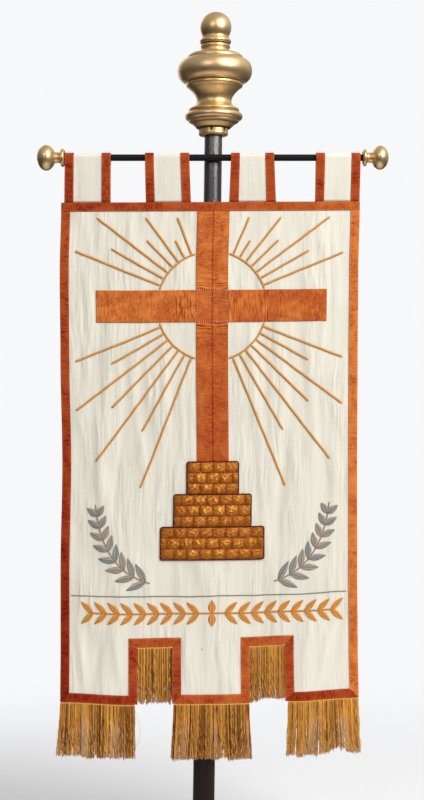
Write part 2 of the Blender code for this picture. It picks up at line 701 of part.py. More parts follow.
def make_steps():
    """Three padded steps under the cross, each sewn into a row of pillows."""
    names = ("step_top", "step_middle", "step_bottom")
    for k, (name, width) in enumerate(zip(names, STEP_WIDTHS)):
        pillows = round(width / STEP_PILLOW_WIDTH)
        s = np.linspace(0, 1, pillows * STEP_PILLOW_COLUMNS + 1)
        t = np.linspace(0, 1, STEP_ROWS + 1)
        top = STEP_FIRST_V + k * (STEP_HEIGHT + GAP)
        u = (CROSS_U - width / 2 + s * width)[None, :]
        v = (top + t * STEP_HEIGHT)[:, None]
        swell_across = np.abs(np.sin(pi * pillows * s))[None, :] ** STEP_FULLNESS
        swell_down = np.sin(pi * t)[:, None] ** STEP_FULLNESS
        front = VELVET_BACK + STEP_EDGE + STEP_CROWN * swell_across * swell_down
        grids = layered(u, v, VELVET_BACK, front)
        closed_piece(name, slab(*grids), "gold_satin", radians(60))


def leaf(place, side, direction, length, half_width):
    front = VELVET_BACK + STITCH_HEIGHT
    widest = Ring(LEAF_WIDEST_AT * length, 0.0, half_width, VELVET_BACK, front)
    tip = Ring(length, 0.0, LEAF_TIP_SHARE * half_width, VELVET_BACK, front)
    return Tooth(place, LEAF_ROOT, side, direction, (widest, tip))


def make_branches():
    """A leafy branch on each side of the steps, rising and bending outwards."""
    start, bend, end = np.array(BRANCH_START), np.array(BRANCH_BEND), np.array(BRANCH_END)
    heights = (VELVET_BACK, VELVET_BACK + STITCH_HEIGHT)
    samples = np.linspace(0, 1, BRANCH_SAMPLES)[:, None]
    bow = (1 - samples) ** 2 * start + 2 * samples * (1 - samples) * bend + samples ** 2 * end
    travelled = np.concatenate([[0], np.cumsum(np.hypot(*np.diff(bow, axis=0).T))])
    for name, to_right in (("branch_left", -1), ("branch_right", 1)):

        def path(distance):
            offset = np.array([np.interp(distance, travelled, bow[:, axis]) for axis in (0, 1)])
            step = np.searchsorted(travelled, distance).clip(1, BRANCH_SAMPLES - 1)
            along = (bow[step] - bow[step - 1]) / (travelled[step] - travelled[step - 1])
            mirror = np.array([to_right, 1])
            return np.array([CROSS_U, 0.0]) + offset * mirror, along * mirror

        teeth = []
        for k in range(BRANCH_LEAVES):
            place = BRANCH_FIRST_LEAF + k * BRANCH_LEAF_PITCH
            _, along = path(place)
            length = BRANCH_LEAF_LENGTH * (1 - BRANCH_LEAF_TAPER * k)
            for side in (1, -1):
                turn = radians(LEAF_ANGLE) * -side
                direction = (along[0] * cos(turn) - along[1] * sin(turn),
                             along[0] * sin(turn) + along[1] * cos(turn))
                teeth.append(leaf(place, side, direction, length, BRANCH_LEAF_HALF_WIDTH))
        stemmed(name, path, travelled[-1], STEM_HALF_WIDTH, teeth, heights, "blue_thread")


def make_leaf_band():
    """A straight stem under the steps with pairs of leaves that point away from its middle."""
    left, right = BAND_ENDS
    heights = (VELVET_BACK, VELVET_BACK + STITCH_HEIGHT)
    middle = (left + right) / 2

    def path(distance):
        return np.array([left + distance, BAND_V]), np.array([1.0, 0.0])

    pairs = int((middle - left - LEAF_ROOT) / BAND_LEAF_PITCH)
    slant = radians(LEAF_ANGLE)
    teeth = []
    for k in range(-pairs, pairs + 1):
        place = middle - left + k * BAND_LEAF_PITCH
        for side in (1, -1):
            if k == 0:
                upright = leaf(place, side, (0.0, -side), BAND_MIDDLE_LENGTH, BAND_MIDDLE_HALF_WIDTH)
                teeth.append(upright)
                continue
            direction = (np.sign(k) * cos(slant), -side * sin(slant))
            teeth.append(leaf(place, side, direction, BAND_LEAF_LENGTH, BAND_LEAF_HALF_WIDTH))
    stemmed("leaf_band", path, right - left, BAND_STEM_HALF_WIDTH, teeth, heights, "gold_cord")


def make_fringes():
    """Gold strands fused at their roots into a narrow heading, with uneven sway and ends."""
    for number, fringe in enumerate(FRINGES):
        width = fringe.right - fringe.left
        count = round(width / STRAND_PITCH)
        pitch = round(width / count, 6)
        level = fringe.top + HEADING_HEIGHT / 2
        uneven = np.random.default_rng(number)
        free = fringe.flare_left + fringe.flare_right > 0

        def heading(distance, left=fringe.left, line=level):
            return np.array([left + distance, line]), np.array([1.0, 0.0])

        teeth = []
        for k in range(count):
            share = (k + 0.5) / count
            flare = fringe.flare_right * share ** 3 - fringe.flare_left * (1 - share) ** 3
            sway = (SWAY_FREE if free else SWAY_IN_NOTCH) * sin(SWAY_WAVES * share + number)
            depth = RIPPLE * sin(RIPPLE_WAVES * share + 2 * number)
            dip = fringe.dip * np.exp(-(((share - fringe.dip_at) / DIP_WIDTH) ** 2))
            longer = uneven.uniform(-STRAND_UNEVEN_LENGTH, STRAND_UNEVEN_LENGTH)
            length = fringe.length - HEADING_HEIGHT - dip + longer
            rings = []
            for bend in STRAND_BENDS:
                aside = uneven.uniform(-STRAND_UNEVEN_SHIFT, STRAND_UNEVEN_SHIFT)
                shift = (flare + sway) * bend.along ** STRAND_DRIFT + aside
                middle = depth * bend.along
                rings.append(Ring(length * bend.along, shift, STRAND_HALF_WIDTH * bend.narrowing,
                                  middle - STRAND_HALF_DEPTH, middle + STRAND_HALF_DEPTH))
            teeth.append(Tooth(pitch * (k + 0.5), pitch, -1, (0.0, 1.0), rings))
        stemmed(fringe.name, heading, pitch * count, HEADING_HEIGHT / 2, teeth,
                (-HEADING_DEPTH / 2, HEADING_DEPTH / 2), "gold_bullion")


def main():
    clear_scene()
    make_pole()
    make_crossbar()
    make_knob("knob_left", CROSSBAR_LEFT, -pi / 2)
    make_knob("knob_right", CROSSBAR_RIGHT, pi / 2)
    make_finial()
    make_collar()
    make_panel()
    make_bindings()
    make_cross()
    make_tabs()
    make_rays()
    make_steps()
    make_branches()
    make_leaf_band()
    make_fringes()


main()
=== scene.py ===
"""Dresses the plain solids of a church banner in silk, velvet, stitching, fringe and gilding.

Metres, +Z up, in the frame of the solids. Cloth is laid out flat first, as a maker cuts it: u runs
across from the panel's left edge, v runs down from its top edge and w is the height in front of
the panel's middle layer. hang() carries that flat layout to the shape in which the banner hangs.
"""

import json
from collections import namedtuple
from math import acos, atan2, cos, hypot, pi, radians

import bpy
import numpy as np
from bpy.props import FloatProperty, FloatVectorProperty, IntProperty, PointerProperty
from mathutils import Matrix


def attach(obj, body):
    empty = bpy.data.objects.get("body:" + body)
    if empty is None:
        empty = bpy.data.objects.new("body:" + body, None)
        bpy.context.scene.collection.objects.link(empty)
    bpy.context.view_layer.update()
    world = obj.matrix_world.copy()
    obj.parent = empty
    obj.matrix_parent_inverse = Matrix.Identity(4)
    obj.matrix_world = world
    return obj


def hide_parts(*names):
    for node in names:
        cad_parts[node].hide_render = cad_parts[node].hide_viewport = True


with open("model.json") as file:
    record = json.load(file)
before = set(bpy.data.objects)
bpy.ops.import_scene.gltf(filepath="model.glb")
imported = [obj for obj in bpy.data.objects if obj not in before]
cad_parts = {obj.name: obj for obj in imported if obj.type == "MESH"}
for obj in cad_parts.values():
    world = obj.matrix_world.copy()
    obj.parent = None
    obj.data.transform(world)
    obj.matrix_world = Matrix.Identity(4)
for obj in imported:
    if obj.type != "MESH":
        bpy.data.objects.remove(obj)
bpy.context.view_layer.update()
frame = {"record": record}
SLOT_COLOURS = {entry["slot"]: tuple(entry["base_color"]) for entry in frame["record"]["materials"]}

bl_info = {
    "name": "Church banner",
    "version": (1, 0, 0),
    "blender": (4, 5, 0),
    "location": "3D View > Sidebar > Banner",
    "description": "Dresses the solids of a church banner in cloth, stitching, fringe and gilding",
    "category": "Object",
}

# Fit
GAP = 0.0003
MITRE_TRIM = 0.00008
LAYER_GAP = 0.0005

# Pole, crossbar and turned ends
POLE_RADIUS = 0.0179
POLE_LEAN = 0.0147
SLEEVE_RADIUS = 0.0218
SLEEVE_TOP = 0.420
CROSSBAR_RADIUS = 0.0066
CROSSBAR_HEIGHT = 1.3846
CROSSBAR_LEFT = -0.2757
CROSSBAR_RIGHT = 0.3193
FINIAL_FOOT = 1.4476
FINIAL_LEAN = 0.0220
COLLAR_FOOT = 1.4324
COLLAR_RADIUS = 0.0295
COLLAR_SLOTS = 6
COLLAR_SLOT_WIDTH = 0.0035
COLLAR_SLOT_HEIGHT = 0.0065
COLLAR_SLOT_DEPTH = 0.007
COLLAR_FIRST_SLOT = 22.0
KNOB_SCALE = {"knob_left": 1.06, "knob_right": 0.98}

# Panel
CUT_WIDTH = 0.596
CUT_HEIGHT = 1.003
NOTCH_TOP = 0.889
NOTCHES = ((0.154, 0.224), (0.379, 0.450))
PANEL_TOP = 1.2940
TOP_RISE = 0.0028
PANEL_THICKNESS = 0.0020
MARK_PLACE = (0.2835, 0.8950)
CLOTH_Y = -(POLE_RADIUS + GAP + CROSSBAR_RADIUS)

# Velvet
VELVET_THICKNESS = 0.0012
BORDER_WIDTH = 0.0175
BORDER_OVERHANG = 0.0005
VELVET_BACK = PANEL_THICKNESS / 2 + LAYER_GAP
VELVET_EDGE_SHARE = 0.45
CROSS_U = 0.3042
CROSS_V = 0.2080
CROSS_WIDTH = 0.0644
CROSS_ARM_ENDS = (0.0719, 0.5337)
ARM_FOLD_INSET = 0.016
RIBBON_JOIN = 0.230
ARM_CRUSH_AT = {"cross_arm_left": 0.80, "cross_arm_right": 0.60}
PUCKER_PITCH = 0.0078
PUCKER_REACH = 0.044
PUCKER_FADE = 0.018

# Tabs over the crossbar
TAB_THICKNESS = 0.0016
TAB_TRIM_WIDTH = 0.0178
TAB_LEG_STEPS = 20
TAB_ARC_STEPS = 28

# Rays
RAY_RING_RADIUS = 0.1100
RAY_RING_WIDTH = 0.0040
RAY_WIDTH = 0.0044
RAY_HEIGHT = 0.0016
RAYS_PER_QUARTER = 7
RAY_FIRST_ANGLE = 22.0
RAY_LAST_ANGLE = 68.0
RAY_BORDER_MARGIN = 0.012
RAY_LONGEST = 0.390
RAY_SHORT_SHARE = 0.74

# Padded steps under the cross
STEP_HEIGHT = 0.0650
STEP_WIDTHS = (0.104, 0.156, 0.208)
STEP_FIRST_V = 0.5200
STEP_EDGE = 0.0014
STEP_CROWN = 0.0055
STEP_PILLOW_WIDTH = 0.026
STEP_COURSES = 3

# Stitched branches and leaf band
STITCH_HEIGHT = 0.0012
STEM_HALF_WIDTH = 0.0014
LEAF_ROOT = 0.0036
LEAF_ANGLE = 42.0
LEAF_WIDEST_AT = 0.42
BRANCH_START = (0.124, 0.762)
BRANCH_BEND = (0.222, 0.735)
BRANCH_END = (0.236, 0.605)
BRANCH_LEAVES = 8
BRANCH_FIRST_LEAF = 0.010
BRANCH_LEAF_PITCH = 0.0246
BRANCH_LEAF_LENGTH = 0.042
BRANCH_LEAF_TAPER = 0.055
BRANCH_LEAF_HALF_WIDTH = 0.0066
BAND_V = 0.8230
BAND_ENDS = (0.0560, 0.5520)
BAND_STEM_HALF_WIDTH = 0.0018
BAND_LEAF_PITCH = 0.0265
BAND_LEAF_LENGTH = 0.033
BAND_LEAF_HALF_WIDTH = 0.0056
BAND_MIDDLE_LENGTH = 0.0264
BAND_MIDDLE_HALF_WIDTH = 0.0076

# Fringe
HEADING_HEIGHT = 0.0040
HEADING_DEPTH = 0.0024
HEADING_BRAID_PITCH = 0.0030
HEADING_TUCK = 0.0006
DIP_WIDTH = 0.09
FRINGE_SPREAD = 0.0008
STRAND_WIDTH = 0.0016

# Stage
VIEW_HEIGHT = 0.900
VIEW_ACROSS = 0.0183
VIEW_SPAN = 1.600

Point = namedtuple("Point", "radius height")
Band = namedtuple("Band", "radius bulge low high")
Ball = namedtuple("Ball", "radius half_height middle start_angle")
Edge = namedtuple("Edge", "drop left right")
Hem = namedtuple("Hem", "across lift")
Fold = namedtuple("Fold", "across width forward start")
Crease = namedtuple("Crease", "across drop reach width height slant")
Corner = namedtuple("Corner", "u v inward_u inward_v")
Seam = namedtuple("Seam", "place side gather")
Tab = namedtuple("Tab", "name top_left top_right foot_left foot_right")
Fringe = namedtuple("Fringe", "name left right top length flare_left flare_right dip_at dip worn tone")
Tone = namedtuple("Tone", "start end")
Surface = namedtuple("Surface", "points quads triangles uv tone", defaults=(None, None, None))

# The finial from its foot up: cone, ringed foot, cove, broad bulb, shoulder, neck rings and knob
FINIAL_PARTS = (
    (Point(0.0000, 0.0000), Point(0.0340, 0.0000)),
    (Point(0.0346, 0.0004), Point(0.0394, 0.0050), Point(0.0445, 0.0098), Point(0.0474, 0.0116)),
    Band(radius=0.0480, bulge=0.0026, low=0.0118, high=0.0152),
    Band(radius=0.0500, bulge=0.0082, low=0.0156, high=0.0312),
    Band(radius=0.0474, bulge=0.0036, low=0.0318, high=0.0398),
    (Point(0.0462, 0.0402), Point(0.0430, 0.0422), Point(0.0394, 0.0450), Point(0.0366, 0.0480),
     Point(0.0353, 0.0515), Point(0.0350, 0.0550), Point(0.0357, 0.0590), Point(0.0374, 0.0634),
     Point(0.0402, 0.0680), Point(0.0440, 0.0728), Point(0.0486, 0.0776), Point(0.0526, 0.0814),
     Point(0.0544, 0.0828)),
    Band(radius=0.0550, bulge=0.0022, low=0.0832, high=0.0914),
    Band(radius=0.0580, bulge=0.0175, low=0.0924, high=0.1376),
    (Point(0.0566, 0.1384), Point(0.0569, 0.1405), Point(0.0564, 0.1430), Point(0.0547, 0.1455),
     Point(0.0520, 0.1474), Point(0.0480, 0.1487), Point(0.0400, 0.1500), Point(0.0320, 0.1513),
     Point(0.0286, 0.1532), Point(0.0272, 0.1562), Point(0.0268, 0.1596)),
    Band(radius=0.0268, bulge=0.0030, low=0.1604, high=0.1684),
    Band(radius=0.0280, bulge=0.0038, low=0.1700, high=0.1796),
    (Point(0.0272, 0.1808), Point(0.0267, 0.1828), Point(0.0268, 0.1850)),
    Ball(radius=0.0316, half_height=0.0316, middle=0.2030, start_angle=-30),
)

# A turned end from the bar outwards: flange, narrow neck and oblate ball
KNOB_PARTS = (
    (Point(0.0000, 0.0000), Point(0.0118, 0.0000)),
    Band(radius=0.0120, bulge=0.0055, low=0.0004, high=0.0086),
    (Point(0.0108, 0.0092), Point(0.0101, 0.0108), Point(0.0098, 0.0138), Point(0.0103, 0.0172)),
    Ball(radius=0.0243, half_height=0.0175, middle=0.0355, start_angle=-64),
)

# Where the side edges hang, by the drop below the panel's top edge
EDGES = (
    Edge(drop=0.000, left=-0.2827, right=0.3133),
    Edge(drop=0.145, left=-0.2857, right=0.3103),
    Edge(drop=0.305, left=-0.2843, right=0.3089),
    Edge(drop=0.525, left=-0.2805, right=0.3079),
    Edge(drop=0.745, left=-0.2843, right=0.3083),
    Edge(drop=0.905, left=-0.2843, right=0.3095),
    Edge(drop=1.003, left=-0.2851, right=0.3113),
)

# How far the hem is drawn up above its level line
HEMS = (
    Hem(across=0.000, lift=0.0052),
    Hem(across=0.147, lift=0.0000),
    Hem(across=0.227, lift=0.0012),
    Hem(across=0.375, lift=0.0020),
    Hem(across=0.455, lift=0.0058),
    Hem(across=0.596, lift=0.0118),
)

# Soft upright folds: middle, width, how far forward at the hem, and where each begins
FOLDS = (
    Fold(across=-0.010, width=0.075, forward=-0.0040, start=0.30),
    Fold(across=0.118, width=0.062, forward=0.0030, start=0.08),
    Fold(across=0.208, width=0.056, forward=-0.0020, start=0.30),
    Fold(across=0.296, width=0.072, forward=0.0028, start=0.15),
    Fold(across=0.402, width=0.056, forward=-0.0020, start=0.22),
    Fold(across=0.492, width=0.062, forward=0.0030, start=0.12),
    Fold(across=0.608, width=0.075, forward=-0.0042, start=0.35),
)

# Small creases: middle, half length, half width, height to the front, and slant off the upright
CREASES = (
    Crease(across=0.052, drop=0.180, reach=0.090, width=0.007, height=0.0024, slant=8),
    Crease(across=0.096, drop=0.330, reach=0.120, width=0.009, height=0.0029, slant=-5),
    Crease(across=0.077, drop=0.560, reach=0.150, width=0.010, height=0.0034, slant=3),
    Crease(across=0.116, drop=0.520, reach=0.110, width=0.008, height=-0.0024, slant=-4),
    Crease(across=0.150, drop=0.420, reach=0.090, width=0.008, height=0.0019, slant=6),
    Crease(across=0.205, drop=0.450, reach=0.110, width=0.009, height=0.0022, slant=-3),
    Crease(across=0.392, drop=0.400, reach=0.130, width=0.009, height=0.0022, slant=4),
    Crease(across=0.448, drop=0.520, reach=0.120, width=0.010, height=-0.0022, slant=-6),
    Crease(across=0.505, drop=0.400, reach=0.140, width=0.009, height=0.0024, slant=3),
    Crease(across=0.548, drop=0.620, reach=0.130, width=0.009, height=0.0029, slant=-3),
    Crease(across=0.040, drop=0.900, reach=0.060, width=0.007, height=0.0029, slant=5),
    Crease(across=0.074, drop=0.915, reach=0.055, width=0.006, height=-0.0024, slant=-8),
    Crease(across=0.112, drop=0.905, reach=0.060, width=0.007, height=0.0026, slant=7),
    Crease(across=0.252, drop=0.900, reach=0.050, width=0.007, height=0.0022, slant=-5),
    Crease(across=0.322, drop=0.915, reach=0.050, width=0.007, height=0.0022, slant=6),
    Crease(across=0.492, drop=0.895, reach=0.060, width=0.007, height=0.0026, slant=-10),
    Crease(across=0.530, drop=0.910, reach=0.060, width=0.006, height=0.0030, slant=-14),
    Crease(across=0.560, drop=0.860, reach=0.070, width=0.007, height=-0.0024, slant=-9),
)

TABS = (
    Tab("tab_1", top_left=-0.2752, top_right=-0.1840, foot_left=-0.2769, foot_right=-0.1842),
    Tab("tab_2", top_left=-0.1157, top_right=-0.0271, foot_left=-0.1140, foot_right=-0.0237),
    Tab("tab_3", top_left=0.0563, top_right=0.1425, foot_left=0.0524, foot_right=0.1462),
    Tab("tab_4", top_left=0.2262, top_right=0.3148, foot_left=0.2243, foot_right=0.3131),
)

HEM_EDGE = CUT_HEIGHT + BORDER_OVERHANG + GAP
NOTCH_EDGE = NOTCH_TOP + BORDER_OVERHANG + GAP
FRINGES = (
    Fringe("fringe_left", 0.0006, 0.1480, HEM_EDGE, 0.108, 0.0070, 0.0000, 0.30, 0.0, 0.75, 0.32),
    Fringe("fringe_middle", 0.2275, 0.3770, HEM_EDGE, 0.110, 0.0070, 0.0060, 0.60, 0.0, 0.45, 0.21),
    Fringe("fringe_right", 0.4560, 0.5950, HEM_EDGE, 0.109, 0.0050, 0.0080, 0.69, 0.013, 0.80, 0.39),
    Fringe("fringe_notch_left", 0.1556, 0.2224, NOTCH_EDGE, 0.110, 0.0, 0.0, 0.5, 0.0, 0.0, 0.34),
    Fringe("fringe_notch_right", 0.3806, 0.4484, NOTCH_EDGE, 0.107, 0.0, 0.0, 0.5, 0.0, 0.0, 0.36),
)

# The loose thread beside the left fringe, as flat (u, v) points that pull its curve
LOOSE_THREAD = ((0.1462, 1.010), (0.1600, 1.032), (0.1680, 1.078), (0.1560, 1.096), (0.1360, 1.084))

# How light each velvet piece is from its start to its end, where 1 is the plain velvet colour: painted light and
# shade, the right border lighter where the light falls and the left darker
VELVET_LIGHT_AND_SHADE = {
    "border_top": Tone(0.52, 0.94),
    "border_left": Tone(0.78, 0.18),
    "border_right": Tone(1.14, 1.16),
    "hem_left": Tone(0.32, 0.42),
    "hem_middle": Tone(0.70, 0.84),
    "hem_right": Tone(0.42, 0.52),
    "notch_left_side_a": Tone(0.50, 0.56),
    "notch_left_top": Tone(0.70, 0.80),
    "notch_left_side_b": Tone(0.66, 0.60),
    "notch_right_side_a": Tone(0.86, 0.80),
    "notch_right_top": Tone(0.76, 0.84),
    "notch_right_side_b": Tone(0.58, 0.50),
    "cross_upright": Tone(1.17, 0.86),
    "cross_arm_left": Tone(1.16, 1.12),
    "cross_arm_right": Tone(1.02, 1.04),
}


# Settings


def colour_setting(name, description, default):
    return FloatVectorProperty(name=name, description=description, default=default,
                               subtype="COLOR", size=3, min=0.0, max=1.0)


def length_setting(name, description, default, highest=0.1):
    return FloatProperty(name=name, description=description, default=default,
                         min=0.0, max=highest, subtype="DISTANCE", unit="LENGTH")


class BannerMetalSettings(bpy.types.PropertyGroup):
    """Colours of the pole, the bar and the gilt turnings."""

    gunmetal: colour_setting("Pole", "Polished dark tube", SLOT_COLOURS["gunmetal"])
    wood: colour_setting("Sleeve", "Stained wood of the lower pole", SLOT_COLOURS["dark_wood"])
    bar: colour_setting("Crossbar", "Matte paint of the crossbar", SLOT_COLOURS["black_paint"])
    gilding: colour_setting("Gilding", "Gold of the turned pieces", SLOT_COLOURS["gilding"])
    # Pale gold for cloudy paler patches and for the painted highlight on the ridges of the turnings
    gilding_pale_and_highlight: colour_setting("Worn gilding", "Gold rubbed pale", (0.95, 0.66, 0.37))
    gilding_recess: colour_setting("Recesses", "Toned gold in the grooves", (0.13, 0.050, 0.015))
    segments: IntProperty(name="Roundness", description="Sides round a turned piece",
                          default=96, min=24, max=256)


class BannerClothSettings(bpy.types.PropertyGroup):
    """Colours and grain of the silk and the velvet."""

    silk: colour_setting("Silk", "Cream ground", SLOT_COLOURS["cream_silk"])
    # The grey-green of the slubs, also used as painted shade in the hollows of the crumple
    slubs_and_crease_shade: colour_setting("Slubs", "Grey-green thick threads", (0.60, 0.585, 0.47))
    velvet: colour_setting("Velvet", "Orange-rust pile", SLOT_COLOURS["velvet"])
    velvet_shade: colour_setting("Pile away", "Pile brushed away from the light", (0.15, 0.008, 0.004))
    velvet_red: colour_setting("Red pile", "Pile half away from the light", (0.36, 0.040, 0.013))
    velvet_light: colour_setting("Pile towards", "Pile brushed to the light", (0.80, 0.255, 0.058))
    grid: length_setting("Cloth grid", "Size of a cell of the cloth", 0.005, 0.05)


class BannerStitchSettings(bpy.types.PropertyGroup):
    """Colours of the couched cord, the satin stitch and the padded gold."""

    cord: colour_setting("Cord", "Couched rays and satin stitch", SLOT_COLOURS["gold_cord"])
    padded: colour_setting("Padded gold", "Satin of the padded steps", (0.54, 0.165, 0.014))
    # Painted shade for the seams and painted highlight for the crowns of the padded satin
    padded_shade: colour_setting("Padded seams", "Satin in the seams", (0.20, 0.044, 0.004))
    padded_light: colour_setting("Padded crowns", "Satin on the crowns", (0.97, 0.52, 0.10))
    satin: colour_setting("Satin stitch", "Orange-gold leaves", (0.74, 0.25, 0.030))
    outline: colour_setting("Outline", "Brown cord round the steps", (0.055, 0.012, 0.006))
    leaf: colour_setting("Leaf", "Blue-grey silk thread", SLOT_COLOURS["blue_thread"])
    leaf_warm: colour_setting("Warm leaf", "Pinkish silk thread", (0.46, 0.32, 0.24))
    stem: colour_setting("Stem", "Grey-green silk thread", (0.24, 0.26, 0.19))
    twist: length_setting("Twist", "Length of one twist of the cord", 0.0030)


class BannerFringeSettings(bpy.types.PropertyGroup):
    """Colours, spacing and thickness of the fringe threads."""

    gold: colour_setting("Gold", "Fresh gold thread", (0.60, 0.207, 0.019))
    # Painted shade for threads that lie deep in the fringe
    dark: colour_setting("Dark", "Thread lying deep in the fringe", (0.085, 0.026, 0.006))
    light: colour_setting("Light", "Thread that catches the light", (0.98, 0.50, 0.075))
    worn: colour_setting("Worn", "Thread worn to its silvery core", (0.62, 0.42, 0.30))
    pitch: length_setting("Pitch", "Distance from thread to thread", 0.00064)
    thickness: length_setting("Thickness", "Thickness of a thread", 0.00100)


class BannerStageSettings(bpy.types.PropertyGroup):
    """Floor, light and camera."""

    floor: colour_setting("Floor", "Plain pale floor", (0.90, 0.90, 0.905))
    backdrop: colour_setting("Backdrop", "Plain pale surroundings", (0.935, 0.94, 0.955))
    surround: FloatProperty(name="Surround", description="Light that comes from all round",
                            default=0.35, min=0.0, max=5.0)
    key: FloatProperty(name="Key", description="Large soft light at the front right",
                       default=130.0, min=0.0, max=1000.0, unit="POWER")
    fill: FloatProperty(name="Fill", description="Large soft light at the front left",
                        default=20.0, min=0.0, max=1000.0, unit="POWER")
    back: FloatProperty(name="Back", description="Weak soft light behind",
                        default=45.0, min=0.0, max=1000.0, unit="POWER")
    distance: FloatProperty(name="Distance", description="From the camera to the cloth",
                            default=3.0, min=1.0, max=20.0, subtype="DISTANCE", unit="LENGTH")


# Shader nodes


class Socket:
    """An output of a node that takes part in ordinary arithmetic, each step of it a Math node."""

    def __init__(self, paint, output):
        self.paint = paint
        self.output = output

    def math(self, operation, first, second):
        return self.paint.node("ShaderNodeMath", {"operation": operation}, {0: first, 1: second})

    def __add__(self, other):
        return self.math("ADD", self, other)

    def __radd__(self, other):
        return self.math("ADD", other, self)

    def __sub__(self, other):
        return self.math("SUBTRACT", self, other)

    def __rsub__(self, other):
        return self.math("SUBTRACT", other, self)

    def __mul__(self, other):
        return self.math("MULTIPLY", self, other)

    def __rmul__(self, other):
        return self.math("MULTIPLY", other, self)

    def __truediv__(self, other):
        return self.math("DIVIDE", self, other)

    def __pow__(self, other):
        return self.math("POWER", self, other)

    def __abs__(self):
        return self.math("ABSOLUTE", self, 0.0)

    def wave(self):
        """The sine of this value."""
        return self.math("SINE", self, 0.0)


class Nodes:
    """The nodes of a material or of the surroundings, made as they are used."""

    def __init__(self, owner):
        owner.use_nodes = True
        self.tree = owner.node_tree

    def feed(self, socket, value):
        """Links a socket to another one, or sets its value."""
        if isinstance(value, Socket):
            self.tree.links.new(value.output, socket)
        elif socket.type == "RGBA" and len(value) == 3:
            socket.default_value = (*value, 1.0)
        else:
            socket.default_value = value

    def node(self, kind, settings=None, sockets=None, output=0):
        """Adds a node with its settings first, then its sockets, and returns one of its outputs."""
        made = self.tree.nodes.new(kind)
        for name, value in (settings or {}).items():
            if name == "stops":
                ramp = made.color_ramp.elements
                while len(ramp) < len(value):
                    ramp.new(0.5)
                for element, (place, colour) in zip(ramp, value):
                    element.position = place
                    element.color = (*colour, 1.0)
            else:
                setattr(made, name, value)
        for place, value in (sockets or {}).items():
            self.feed(made.inputs[place], value)
        return Socket(self, made.outputs[output])

    def ease(self, value, low, high):
        """0 below low, 1 above high and smooth between them."""
        return self.node("ShaderNodeMapRange", {"interpolation_type": "SMOOTHSTEP"},
                         {"Value": value, "From Min": low, "From Max": high})

    def choose(self, factor, first, second):
        """The first number where factor is 0, the second where it is 1."""
        return self.node("ShaderNodeMix", {"data_type": "FLOAT"}, {0: factor, 2: first, 3: second})


class Paint(Nodes):
    """A material and its shader."""

    def __init__(self, name):
        self.material = bpy.data.materials.new(name)
        super().__init__(self.material)
        self.shader = self.tree.nodes["Principled BSDF"]

    def from_uv(self):
        """Across and along the cloth, in metres."""
        cut = self.node("ShaderNodeUVMap", {"uv_map": "cut"})
        return [self.node("ShaderNodeSeparateXYZ", None, {0: cut}, axis) for axis in (0, 1)]

    def from_object(self):
        """The three places in the piece's own space, in metres."""
        place = self.node("ShaderNodeTexCoord", output=3)
        return [self.node("ShaderNodeSeparateXYZ", None, {0: place}, axis) for axis in (0, 1, 2)]

    def noise(self, x, y, z=0.0, detail=2.0, distortion=0.0):
        """Smooth noise from 0 to 1 whose cells are 1 wide in the given coordinates."""
        place = self.node("ShaderNodeCombineXYZ", None, {0: x, 1: y, 2: z})
        return self.node("ShaderNodeTexNoise", {"noise_dimensions": "3D"},
                         {"Vector": place, "Scale": 1.0, "Detail": detail, "Distortion": distortion})

    def blend(self, factor, first, second, kind="MIX"):
        """The first colour where factor is 0, the second where it is 1."""
        return self.node("ShaderNodeMix", {"data_type": "RGBA", "blend_type": kind},
                         {0: factor, 6: first, 7: second}, 2)

    def scaled(self, colour, share):
        """A colour made lighter or darker."""
        return self.node("ShaderNodeVectorMath", {"operation": "SCALE"}, {0: colour, "Scale": share})

    def tone(self):
        """The piece's own tone attribute."""
        return self.node("ShaderNodeAttribute", {"attribute_name": "tone"}, None, 2)

    def finish(self, height=None, depth=0.0005, strength=1.0, **sockets):
        """Feeds the shader, with a bump of the given depth where there is a height."""
        for name, value in sockets.items():
            self.feed(self.shader.inputs[name.replace("_", " ")], value)
        if height is not None:
            bump = self.node("ShaderNodeBump", None,
                             {"Height": height, "Distance": depth, "Strength": strength})
            self.feed(self.shader.inputs["Normal"], bump)
        return self.material


# Materials


def paint_silk(cloth, name, seed, worn=1.0):
    """Slubbed silk: fine grain both ways, wandering grey-green threads down the cloth in loose
    groups, a faint crumple that runs the same way with painted shade in its hollows, and painted
    shade that darkens it a little towards its foot."""
    paint = Paint(name)
    across, along = paint.from_uv()
    wander = paint.noise(across * 9, along * 7, seed, 2.0)
    warp = paint.noise(across * 460 + seed, along * 11.0, seed, 3.0)
    weft = paint.noise(across * 16.0, along * 520 + seed, seed, 2.0)
    streaks = paint.noise(across * 180 + wander * 2.2, along * 15.0 + seed, seed + 3, 2.0)
    groups = paint.noise(across * 20 + seed, along * 6, seed + 8, 1.0)
    crumple = paint.noise(across * 66 + wander * 1.3, along * 8 + seed, seed + 5, 2.0)
    # worn sets how strong the streaks, the crumple and the painted shade in its hollows are
    slubs_and_crease_shade = paint.ease(streaks, 0.52, 0.74) * paint.ease(groups, 0.35, 0.70) * (0.55 * worn)
    # Where the crumple sinks, the cloth is blended towards the grey-green thread colour as painted shade
    slubs_and_crease_shade = slubs_and_crease_shade + paint.ease(warp, 0.50, 0.78) * 0.20 + paint.ease(crumple, 0.46, 0.30) * (0.16 * worn)
    # The ground darkens a little down the cloth as painted shade
    ground = paint.scaled(tuple(cloth.silk), 1.14 - wander * 0.06 - weft * 0.10 - along * 0.05)
    colour = paint.blend(slubs_and_crease_shade, ground, tuple(cloth.slubs_and_crease_shade))
    spot = ((across - MARK_PLACE[0]) ** 2 + (along - MARK_PLACE[1]) ** 2) ** 0.5 + wander * 0.003
    colour = paint.blend(0.8 - paint.ease(spot, 0.0025, 0.0046) * 0.8, colour, (0.30, 0.20, 0.09))
    height = crumple * paint.ease(groups, 0.30, 0.62) * worn + warp * 0.06 + weft * 0.04
    return paint.finish(height=height, depth=0.0064, strength=0.8, Base_Color=colour,
                        Roughness=0.74 - warp * 0.16, Sheen_Weight=0.10, Sheen_Roughness=0.4,
                        Specular_IOR_Level=0.35)


